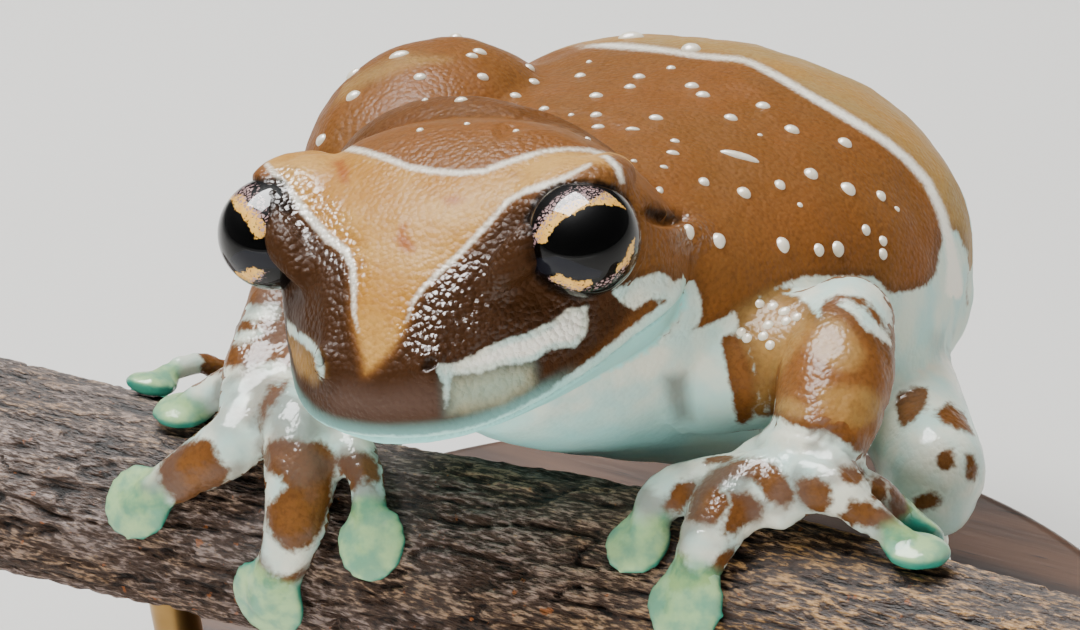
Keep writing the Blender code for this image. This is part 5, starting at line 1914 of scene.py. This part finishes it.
    def wash(self) -> Array:
        """How much aqua shows through the skin of the lip and the snout's edge."""
        wash = 0.3 * ramp(-1.0, 1.0, self.marks.read(self.on_head, self.head.translucent))
        snout = ramp(1.9, 0.6, self.over_lip) * ramp(4.0, 8.0, self.in_head[:, 1]) * self.on_head
        return np.maximum(wash, 0.45 * snout)

    def wet(self) -> Array:
        """How much the wettest patches of head and neck mirror the lamp."""
        where = self.on_head | self.on_trunk
        wet = np.max([self.marks.read(where, one) for one in self.head.wet_patches], axis=0)
        return ramp(-0.9, 0.5, wet)

    def damp(self) -> Array:
        """The least wetness of each region: the hands are wettest."""
        arms = self.left_arm | self.right_arm
        return np.where(self.on_head | self.on_trunk, 0.05, np.where(arms, 0.25, 0.6))

    def grain(self, pale: Array, wet: Array) -> Array:
        """The height of the granules: coarse where wet, calm on the crown, the pale skin and turned away.

        Args:
            pale: Millimetres inside the pale skin.
            wet: The wettest patches' amount.

        Returns:
            One amount for each point.
        """
        smooth = ramp(-1.5, 1.5, np.where(self.on_head, self.over_lip - 1.2, 1.0))
        calm = 0.75 * ramp(0.3, 1.6, self.crown) * (1.0 - wet)
        grain = 0.35 + 0.65 * smooth * (1.0 - calm) + 0.35 * wet
        grain = np.where(self.on_trunk, 0.55 + 0.4 * wet, np.where(self.on_head, grain, 0.4))
        turned_away = ramp(0.5, 0.2, CAMERA.facing(self.places, self.normals)) * self.on_head
        return grain * np.where((pale > 0.5) & (wet < 0.5), 0.45, 1.0) * (1.0 - 0.8 * turned_away)

    def aqua(self) -> Array:
        """How aqua the pale skin is: most below the mouth and at the front of the belly."""
        over_lip = self.over_lip
        aqua = (0.35 + 0.5 * ramp(0.9, -0.4, over_lip)) * self.on_head * ramp(2.0, 0.6, over_lip)
        front = ramp(20.0, 10.0, self.places[:, 1])
        thin = self.on_trunk | self.marks.is_in(Flesh.UPPER_ARM_LEFT, Flesh.UPPER_ARM_RIGHT)
        return np.maximum(aqua, thin * ramp(-13.0, -19.0, self.places[:, 2]) * (0.2 + 0.55 * front))

    def discs(self) -> tuple[Array, Array]:
        """How mint each point is, on the discs' tops, and how turquoise, on the pads below.

        Returns:
            The two amounts for each point.
        """
        mint, pad = np.zeros(len(self.places)), np.zeros(len(self.places))
        for tip, radius, outward in self.form.discs:
            away = self.places - tip
            height = away @ outward
            flat = np.linalg.norm(away - height[:, None] * outward, axis=1)
            close_by = ramp(radius * 1.2, radius * 0.92, flat) * ramp(2.2, 1.3, np.abs(height))
            mint = np.maximum(mint, close_by)
            pad = np.maximum(pad, close_by * ramp(0.3, 0.0, height))
        return mint, pad

    def fold(self) -> Array:
        """How much painted shade darkens the folds: nostrils, the skin round the eyes, the mouth and the
        cleft behind the ear.

        Returns:
            One amount for each point.
        """
        twin = self.form.on_left(self.in_head)
        fold = np.exp(-((self.form.to_nostril(twin) / 0.36) ** 4)) * self.on_head
        radius = self.form.eye_radius
        for side in Side:
            around = np.linalg.norm(self.places - self.form.eye_middle(side), axis=1)
            fold = np.maximum(fold, 0.9 * ramp(radius + 0.28, radius + 0.12, around))
        in_mouth = self.on_head * (self.in_head[:, 1] > self.form.mouth_corner)
        seam = np.exp(-((self.over_lip / 0.16) ** 2)) * in_mouth * 0.35
        cleft = self.marks.read(self.on_head | self.on_trunk, self.body.ear_cleft, line=True)
        fold = np.maximum(fold, ramp(-0.25, 0.2, cleft) * 0.9)
        return np.clip(np.maximum(fold, seam), 0, 1)


# The skin


@dataclass
class FrogSkin:
    """The one skin over all of the frog's flesh."""

    form: FrogForm = field(default_factory=FrogForm)
    voxel: float = 0.49
    # How strongly the remeshed skin is smoothed, by region and elsewhere
    softness: tuple[tuple[float, tuple[Flesh, ...]], ...] = (
        (0.24, (Flesh.DISC,)), (0.2, (Flesh.HAND_LEFT, Flesh.HAND_RIGHT, Flesh.FOOT)), (0.3, (Flesh.HEAD,)),
        (0.6, (Flesh.TRUNK, Flesh.LOBE, Flesh.NAPE)),
    )
    softness_elsewhere: float = 0.45
    # The same for discs, head and the rest after the discs' and the head's faces are split
    second_softness: tuple[float, float, float] = (0.7, 0.28, 0.15)
    mesh: bpy.types.Mesh | None = None
    region: Whole = field(default_factory=lambda: np.zeros(0, np.int64))
    along: Array = field(default_factory=lambda: np.zeros(0))

    def merge(self) -> bpy.types.Mesh:
        """Fuses the overlapping surfaces into one closed mesh by a voxel remesh."""
        parts = self.form.build()
        raw = mesh_of("raw_frog", [surface for _, surface in parts])
        made = bpy.data.objects.new("raw_frog", raw)
        bpy.context.scene.collection.objects.link(made)
        remesh = made.modifiers.new("One skin", "REMESH")
        remesh.mode = "VOXEL"
        remesh.voxel_size = self.voxel * MM
        graph = bpy.context.evaluated_depsgraph_get()
        mesh = bpy.data.meshes.new_from_object(made.evaluated_get(graph))
        bpy.data.objects.remove(made)
        return mesh

    def name_regions(self, places: Array) -> None:
        """Gives each point the region and the place along it of the nearest raw surface point."""
        parts = self.form.parts
        points = np.vstack([surface.points for _, surface in parts])
        labels = np.concatenate([np.full(len(surface.points), region.value) for region, surface in parts])
        along = np.concatenate([surface.along for _, surface in parts])
        tree = KDTree(len(points))
        for number, point in enumerate(points):
            tree.insert(point, number)
        tree.balance()
        nearest = np.array([tree.find(place)[1] for place in places])
        self.region, self.along = labels[nearest], along[nearest]

    def refine(self, mesh: bpy.types.Mesh) -> None:
        """Splits the faces of head and discs in four, so that lids, lips and nostrils come out sharp."""
        shape = bmesh.new()
        shape.from_mesh(mesh)
        shape.verts.ensure_lookup_table()
        places = HEAD.into(places_of(mesh))
        wanted = in_regions(self.region, Flesh.HEAD) & (places[:, 1] > -8.5) & (places[:, 2] > -10.8)
        wanted |= in_regions(self.region, Flesh.DISC)
        edges = [edge for edge in shape.edges if all(wanted[corner.index] for corner in edge.verts)]
        bmesh.ops.subdivide_edges(shape, edges=edges, cuts=1, use_grid_fill=True)
        shape.to_mesh(mesh)
        shape.free()

    def shape_head(self, places: Array) -> Array:
        """How far each point of the head moves along its normal.

        Rounded ridges and grooves are Gaussians of the distance to their line, in head coordinates.

        Args:
            places: The skin's points.

        Returns:
            The move of each point in millimetres.
        """
        head = HEAD.into(places)
        on_head = in_regions(self.region, Flesh.HEAD)
        twin = self.form.on_left(head)
        move = np.zeros(len(places))
        near = np.nonzero(on_head)[0]
        for line, height, spread in self.form.head_relief:
            track = curve_through(line, 40)[:, :3]
            distance = np.full(len(places), 99.0)
            distance[near] = np.linalg.norm(twin[near, None] - track[None], axis=-1).min(1)
            move += height * np.exp(-((distance / spread) ** 2))

        # The line of the mouth with the swell of the lip over it, and the nostrils
        over = head[:, 2] - self.form.lip_height(head[:, 1])
        front = (head[:, 1] > self.form.mouth_corner) & on_head
        groove = np.exp(-((over / 0.20) ** 2)) * front
        move -= 0.55 * groove
        swell = np.exp(-(((over - 0.75) / 0.45) ** 2)) * front
        move += 0.18 * swell
        move -= 0.6 * np.exp(-((self.form.to_nostril(twin) / 0.34) ** 4)) * on_head
        move += 0.03 * cloud(places, 1.2, 3) * on_head
        return move

    def open_lids(self, places: Array) -> Array:
        """Draws the skin that lies over an eyeball's open side in beneath the eyeball's surface.

        Within a cylinder along the lids' opening the distance from the eye's middle is read along a line
        that stays under the eyeball's radius at first and then catches up, so that the lid keeps a smooth
        rounded edge.

        Args:
            places: The skin's points.

        Returns:
            The changed points.
        """
        places = places.copy()
        radius = self.form.eye_radius
        for side in Side:
            away = places - self.form.eye_middle(side)
            reach = np.linalg.norm(away, axis=1)
            ahead = away @ self.form.opening_of(side)
            beside = np.sqrt(np.maximum(reach**2 - ahead**2, 0.0))
            lowered = np.interp(
                reach,
                (0.0, radius - 0.4, radius + 0.9, radius + 3.4, 90.0),
                (0.0, radius - 0.4, radius - 0.4, radius + 3.4, 90.0),
            )
            amount = ramp(radius + 0.25, radius - 0.15, beside) * ramp(-0.9, 0.1, ahead)
            places += away * (amount * (lowered / reach - 1.0))[:, None]
        return places

    def shape_body(self, places: Array, marks: Markings) -> Array:
        """How far the trunk's and limbs' skin moves: soft lumps, folds of the neck and creases of the hands.

        Args:
            places: The skin's points.
            marks: The reader of outlines on these points.

        Returns:
            The move of each point in millimetres.
        """
        body = BodyMarks()
        trunk = marks.is_in(Flesh.TRUNK, Flesh.LOBE, Flesh.NAPE)
        creased = (Flesh.HAND_LEFT, Flesh.HAND_RIGHT, Flesh.FOOT, Flesh.FOREARM_LEFT, Flesh.FOREARM_RIGHT)
        hands = marks.is_in(*creased)
        limbs = ~trunk & ~marks.is_in(Flesh.HEAD)
        move = 0.22 * cloud(places, 6.0, 1, 2) * trunk + 0.05 * cloud(places, 1.4, 5, 2) * trunk
        move += 0.06 * cloud(places, 1.5, 8, 2) * limbs
        creases = np.exp(-((cloud(places, 2.1, 12, 2) / 0.14) ** 2))
        move -= 0.14 * creases * hands
        neck = trunk | marks.is_in(Flesh.HEAD)
        move -= 0.75 * ramp(-0.45, 0.25, marks.read(neck, body.ear_cleft, line=True))
        move += 0.5 * ramp(-0.9, 0.6, marks.read(neck, body.ear_bulge, line=True))
        move -= 0.28 * ramp(-0.7, 0.1, marks.read(neck, body.nape_groove, line=True))
        for fold in LimbMarks().wrist_folds:
            depth = marks.read(hands, LEFT_ARM_CLOSE.outline(fold), line=True, mirror=False)
            move -= 0.3 * ramp(-0.35, 0.15, depth)
        return move

    def build(self, finish: MoistSkin) -> bpy.types.Object:
        """Makes the skin, shapes it, marks it and puts it in place of the flesh nodes.

        Args:
            finish: The skin's finish.

        Returns:
            The skin's object.
        """
        mesh = self.merge()
        mesh.name = "frog_skin"
        places = places_of(mesh)
        self.name_regions(places)
        soft = np.full(len(places), self.softness_elsewhere)
        for amount, regions in self.softness:
            soft[in_regions(self.region, *regions)] = amount
        put_places(mesh, relaxed(places, edges_of(mesh), soft, 12))
        self.refine(mesh)
        places = places_of(mesh)
        self.name_regions(places)
        on_head, on_disc = in_regions(self.region, Flesh.HEAD), in_regions(self.region, Flesh.DISC)
        disc_soft, head_soft, rest_soft = self.second_softness
        soft = np.where(on_disc, disc_soft, np.where(on_head, head_soft, rest_soft))
        put_places(mesh, relaxed(places, edges_of(mesh), soft, 8))
        places, normals = places_of(mesh), normals_of(mesh)
        move = self.shape_head(places) + self.shape_body(places, Markings(places, normals, self.region))
        put_places(mesh, self.open_lids(places + normals * move[:, None]))
        self.mesh = mesh
        SkinPainter(mesh, self.region, self.along, self.form).paint()
        LOG.info("frog_skin: %d faces", len(mesh.polygons))
        made = piece("frog_skin", mesh, finish.build())
        paired = ("upper_arm", "forearm", "hand", "thigh", "shank", "foot")
        limbs = [f"{name}_{side.word}" for name in paired for side in Side]
        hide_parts("head", "lower_jaw", "torso", *limbs)
        return made


# Glands, eyes and lids


@dataclass
class SkinGlands:
    """The small white glands that stand on the back, each a low oval dome."""

    rise: float = 1.0
    spread: float = 1.12

    def build(self, skin: bpy.types.Mesh, finish: GlandSkin) -> bpy.types.Object:
        """Sets each gland where its pixel's ray meets the skin, and its twin on the unseen side.

        Args:
            skin: The frog's skin.
            finish: The glands' finish.

        Returns:
            The glands' object.
        """
        shape = bmesh.new()
        shape.from_mesh(skin)
        tree = BVHTree.FromBMesh(shape)
        shape.free()
        start = Vector((CAMERA.place() + MID_EYE) * MM)
        pixels = np.array([row[:2] for row in GLANDS])
        domes: list[Surface] = []
        for way, (_, _, long, wide) in zip(CAMERA.rays(pixels), GLANDS):
            hit, normal, _, _ = tree.ray_cast(start, Vector(way))
            if hit is None:
                continue
            domes.append(self.dome(hit, normal, long, wide))
            twin = Vector((-hit.x + TWIN_SHIFT * MM, hit.y, hit.z))
            near, out, _, _ = tree.find_nearest(twin)
            away = start - near
            blocked = tree.ray_cast(near + out * 0.0006, away.normalized())[0] is not None
            if blocked or out.dot(away.normalized()) < 0.02:
                domes.append(self.dome(near, out, long, wide))
        mesh = mesh_of("skin_glands", domes)
        LOG.info("skin_glands: %d", len(domes))
        made = piece("skin_glands", mesh, finish.build())
        return made

    def dome(self, place: Vector, normal: Vector, long: float, wide: float) -> Surface:
        """A low dome: an ellipsoid sunk to below its middle in the skin."""
        out = np.array(normal)
        right = CAMERA.axes()[0]
        first = unit(right - out * right.dot(out))
        axes = np.stack([first, np.cross(out, first), out])
        height = self.rise * min(long, wide)
        middle = np.array(place) / MM - MID_EYE - out * height * 0.3
        return ball(middle, (long * self.spread, wide * self.spread, height), axes, 9)


@dataclass
class Eyes:
    """Both eyeballs and the dark margins of their lids."""

    form: FrogForm
    margin: float = 0.2
    # The iris ends this many pixels from the eye's middle
    iris: float = 52.5
    gold: tuple[Rows, ...] = (
        (
            (270, 478), (300, 420), (340, 368), (390, 322), (440, 300), (480, 275), (525, 248), (600, 238),
            (660, 240), (720, 252), (768, 264), (788, 222), (740, 190), (690, 165), (640, 152), (600, 185),
            (530, 214), (470, 200), (410, 225), (370, 262), (330, 268), (300, 300), (262, 340), (230, 390),
            (208, 430), (236, 468),
        ),
        (
            (300, 680), (340, 655), (380, 665), (430, 690), (480, 700), (545, 690), (557, 722), (510, 745),
            (480, 770), (430, 748), (380, 732), (330, 708),
        ),
        (
            (825, 420), (841, 455), (836, 500), (815, 552), (780, 592), (740, 622), (705, 652), (694, 636),
            (715, 600), (745, 570), (762, 530), (790, 470),
        ),
    )
    net: tuple[Rows, ...] = (
        (
            (196, 520), (190, 400), (230, 310), (300, 225), (380, 165), (450, 120), (560, 98), (650, 112),
            (740, 168), (790, 222), (740, 230), (690, 200), (600, 215), (480, 240), (380, 290), (300, 340),
            (250, 430), (215, 480),
        ),
        (
            (262, 690), (300, 670), (340, 690), (430, 735), (520, 740), (600, 710), (680, 660), (740, 610),
            (800, 560), (838, 470), (848, 520), (820, 600), (760, 680), (690, 740), (600, 780), (500, 800),
            (400, 780), (310, 740),
        ),
    )
    veil: Rows = (
        (160, 565), (240, 560), (350, 548), (420, 570), (520, 610), (620, 640), (600, 680), (540, 690),
        (470, 690), (400, 670), (340, 650), (280, 665), (230, 660), (190, 620),
    )

    def build(self, finish: WetEye, edge: LidEdge) -> None:
        """Makes the eyeballs and lid margins.

        Args:
            finish: The eyeballs' finish.
            edge: The lid margins' finish.
        """
        eye_material, edge_material = finish.build(), edge.build()
        for side in Side:
            middle = self.form.eye_middle(side)
            axes = axes_along(self.form.gaze_of(side))
            surface = ball(middle, (self.form.eye_radius,) * 3, axes, 150)
            mesh = mesh_of(f"eyeball_{side.word}", [surface])
            self.paint(mesh, side)
            made = piece(f"eyeball_{side.word}", mesh, eye_material)
            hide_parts(f"eye_{side.word}")
            self.lid_margin(side, edge_material)

    def paint(self, mesh: bpy.types.Mesh, side: Side) -> None:
        """Stores the iris on the eyeball: its gold parts, the pale netted rim, and a painted reflection that
        dulls the lower pupil.

        The outlines were read off the left eye in the photograph, and the right eye has their mirror image.

        Args:
            mesh: The eyeball.
            side: The side of the head that it is on.
        """
        flip = np.array([float(side.value), 1.0, 1.0])
        places = HEAD.out(HEAD.into(places_of(mesh)) * flip)
        middle = self.form.eye_middle(Side.LEFT)
        pixels = CAMERA.project(places)
        front = ramp(-0.05, 0.1, CAMERA.facing(places, unit(places - middle)))
        inside = self.iris - np.linalg.norm(pixels - CAMERA.project(middle[None]), axis=1)
        for name, outlines in (("gold", self.gold), ("iris_net", self.net)):
            reach = np.max([polygon_reach(pixels, EYE_CLOSE.outline(one)) for one in outlines], axis=0)
            reach = np.minimum(reach, inside) / CAMERA.scale + FAR_OFF * (1.0 - front)
            put_values(mesh, name, np.clip(reach, -2, 2))
        # Painted reflection: a dull blue-grey veil over the lower pupil
        veil = polygon_reach(pixels, EYE_CLOSE.outline(self.veil))
        put_values(mesh, "veil", ramp(-0.1, 0.15, veil / CAMERA.scale) * front)

    def lid_margin(self, side: Side, material: bpy.types.Material) -> None:
        """A thin dark ring round the eye: a circle of the margin's radius swept round the lids' opening."""
        axes = axes_along(self.form.gaze_of(side))
        u = full_turn(120)[:, None]
        v = full_turn(16)[None, :]
        height = self.form.lid_height + 0.1
        reach = math.sqrt(self.form.eye_radius**2 - height**2) + 0.04 + self.margin * np.cos(v)
        rise = height + 1.2 * self.margin * np.sin(v) + 0 * u
        shape = np.stack([reach * np.cos(u), reach * np.sin(u), rise], -1)
        surface = through_rings(shape @ axes + self.form.eye_middle(side), closed_path=True)
        made = piece(f"lid_margin_{side.word}", mesh_of(f"lid_margin_{side.word}", [surface]), material)


# Perch and stand


@dataclass
class Perch:
    """A cut length of branch: its axis, thickness and the relief of its bark."""

    rows: int = 440
    sides: int = 224
    ridge: float = 0.28
    # How far the sawn ends' edges are rounded
    edge: float = 0.35

    def build(self, finish: DryBark) -> bpy.types.Object:
        """Sweeps a circle along the branch's axis and moves it out by the bark's relief.

        The radius is R + a times stretched noise, with narrow cracks where a second noise is near 0.

        Args:
            finish: The bark's finish.

        Returns:
            The branch's object.
        """
        track = curve_through(PERCH_AXIS, self.rows)
        v = full_turn(self.sides)
        x = np.repeat(track[:, 0], self.sides)
        turn = np.tile(v, self.rows)
        spiral = turn + 0.012 * x
        wrap = np.stack([x * 0.2, PERCH_RADIUS * np.cos(spiral), PERCH_RADIUS * np.sin(spiral)], -1)
        shorter = wrap * np.array([2.0, 1.0, 1.0])
        long = 1.0 - 2.2 * np.abs(cloud(wrap, 0.85, 21, 2))
        fine = cloud(shorter, 0.5, 23, 2)
        cracks = np.exp(-((cloud(wrap, 1.2, 33, 2) / 0.11) ** 2))
        swell = 0.25 * np.sin(0.11 * x + 1.0) + 0.15 * cloud(shorter, 6.0, 41)
        relief = 0.55 * long + 0.4 * fine - cracks * 1.3
        radius = PERCH_RADIUS + swell + self.ridge * relief
        end = np.minimum(x - track[0, 0], track[-1, 0] - x)
        radius = radius - self.edge * np.exp(-end / self.edge)
        depth, height = np.repeat(track[:, 1], self.sides), np.repeat(track[:, 2], self.sides)
        rings = np.stack([x, depth + radius * np.cos(turn), height + radius * np.sin(turn)], -1)
        rings = rings.reshape(self.rows, self.sides, 3)
        mesh = mesh_of("perch_bark", [through_rings(rings)])
        put_values(mesh, "relief", np.concatenate([relief, [0.0, 0.0]]))
        put_values(mesh, "warm", np.concatenate([0.75 * ramp(0.0, 28.0, x), [0.0, 0.0]]))
        made = piece("perch_bark", mesh, finish.build())
        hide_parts("perch")
        return made


@dataclass
class Stand:
    """The plain display stand: an oval base and two rods."""

    length: float = 84.0
    depth: float = 72.0
    height: float = 5.0
    rod_radius: float = 1.8
    rod_spread: float = 30.0
    # How far the rods' tops stand below the perch's axis, inside the branch
    sunk: float = 6.6
    # How far the base's rim stands back, and at what height
    rim: Rows = (
        (0.5, 0.0), (0.12, 0.12), (0.0, 0.5), (0.0, 3.6), (0.06, 4.2), (0.3, 4.7), (0.7, 4.93), (1.3, 5.0),
    )

    def build(self, wood: TurnedWalnut, metal: BrushedBrass) -> None:
        """Makes the base and the rods in place of their nodes.

        Args:
            wood: The base's finish.
            metal: The rods' finish.
        """
        v = full_turn(180)[None, :]
        inset, level = np.array(self.rim)[:, :1], np.array(self.rim)[:, 1:]
        oval = [(self.length / 2 - inset) * np.cos(v), (self.depth / 2 - inset) * np.sin(v), level + 0 * v]
        surface = through_rings(np.stack(oval, -1) - MID_EYE)
        base = piece("stand_base_turned", mesh_of("stand_base_turned", [surface]), wood.build())
        base.data.set_sharp_from_angle(angle=math.radians(50))
        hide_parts("stand_base")
        metal_material = metal.build()
        for side in Side:
            along = side.value * self.rod_spread
            depth, top = table_at(np.array([along]), PERCH_AXIS)[0]
            radius = self.rod_radius
            low, high = self.height - MID_EYE[2], top - self.sunk
            flange = [(radius + 1.1, low), (radius + 1.1, low + 0.7), (radius + 0.8, low + 1.0)]
            rows = np.array([*flange, (radius, low + 1.05), (radius, (low + high) / 2), (radius, high)])
            ring = np.stack([rows[:, :1] * np.cos(v), rows[:, :1] * np.sin(v), rows[:, 1:] + 0 * v], -1)
            surface = through_rings(ring + np.array([along, depth, 0.0]))
            name = f"stand_rod_turned_{side.word}"
            rod = piece(name, mesh_of(name, [surface]), metal_material)
            rod.data.set_sharp_from_angle(angle=math.radians(40))
            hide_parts(f"stand_rod_{side.word}")


# Studio


@dataclass
class Studio:
    """Pale floor, soft lights and the world."""

    floor_half: float = 3.0
    sky: str = "E4E8EC"
    # The point that every light faces
    target: Row = (0.0, 0.0, 0.045)

    def light(
        self, name: str, place: Row, size: Row, power: float, in_diffuse: bool = True, in_gloss: bool = True
    ) -> None:
        """Adds one oblong area light.

        Args:
            name: The light's name.
            place: Where it stands, in metres.
            size: Its width and height in metres.
            power: Its power in watts.
            in_diffuse: Whether it lights matt surfaces.
            in_gloss: Whether wet surfaces mirror it.
        """
        data = bpy.data.lights.new(name, "AREA")
        data.shape = "RECTANGLE"
        data.size, data.size_y = size
        data.energy = power
        lamp = bpy.data.objects.new(name, data)
        way = Vector(self.target) - Vector(place)
        turned_to = way.to_track_quat("-Z", "Y").to_matrix().to_4x4()
        turned_to.translation = Vector(place)
        lamp.matrix_world = turned_to
        lamp.visible_diffuse, lamp.visible_glossy = in_diffuse, in_gloss
        bpy.context.scene.collection.objects.link(lamp)

    def build(self, paper: PaperFloor) -> None:
        """Lays the floor, sets the lights and the world.

        Args:
            paper: The floor's finish.
        """
        half = self.floor_half
        corners = [(-half, -half, 0), (half, -half, 0), (half, half, 0), (-half, half, 0)]
        mesh = bpy.data.meshes.new("studio_floor")
        mesh.from_pydata(corners, [], [(0, 1, 2, 3)])
        floor = bpy.data.objects.new("studio_floor", mesh)
        bpy.context.scene.collection.objects.link(floor)
        mesh.materials.append(paper.build())
        self.light("key_softbox", (-0.13, 0.052, 0.46), (0.30, 0.26), 3.4, in_gloss=False)
        self.light("glint_softbox", (-0.128, 0.05, 0.448), (0.35, 0.30), 16.0, in_diffuse=False)
        self.light("front_softbox", (0.25, -1.0, 0.34), (1.1, 0.8), 5.0, in_gloss=False)
        self.light("low_softbox", (0.12, -0.5, 0.05), (0.8, 0.2), 2.8, in_gloss=False)
        self.light("room_softbox", (0.8, 1.2, 2.2), (3.0, 3.0), 40.0, in_gloss=False)
        world = bpy.data.worlds.new("studio_world")
        world.use_nodes = True
        background = world.node_tree.nodes["Background"]
        background.inputs[0].default_value = linear(self.sky)
        # Wet skin mirrors a darker room than the one that lights it
        ray = add(world, "LightPath", output="Is Glossy Ray")
        strength = add(world, "Math", {0: ray, 1: -0.14, 2: 0.2}, operation="MULTIPLY_ADD")
        world.node_tree.links.new(strength, background.inputs[1])
        bpy.context.scene.world = world


def main() -> None:
    """Builds every piece in order."""
    logging.basicConfig(level=logging.INFO, format="%(name)s: %(message)s")
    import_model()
    CAMERA.install()
    Studio().build(PaperFloor())
    skin = FrogSkin()
    skin.build(MoistSkin())
    SkinGlands().build(skin.mesh, GlandSkin())
    Eyes(skin.form).build(WetEye(), LidEdge())
    Perch().build(DryBark())
    Stand().build(TurnedWalnut(), BrushedBrass())


if __name__ == "__main__":
    main()
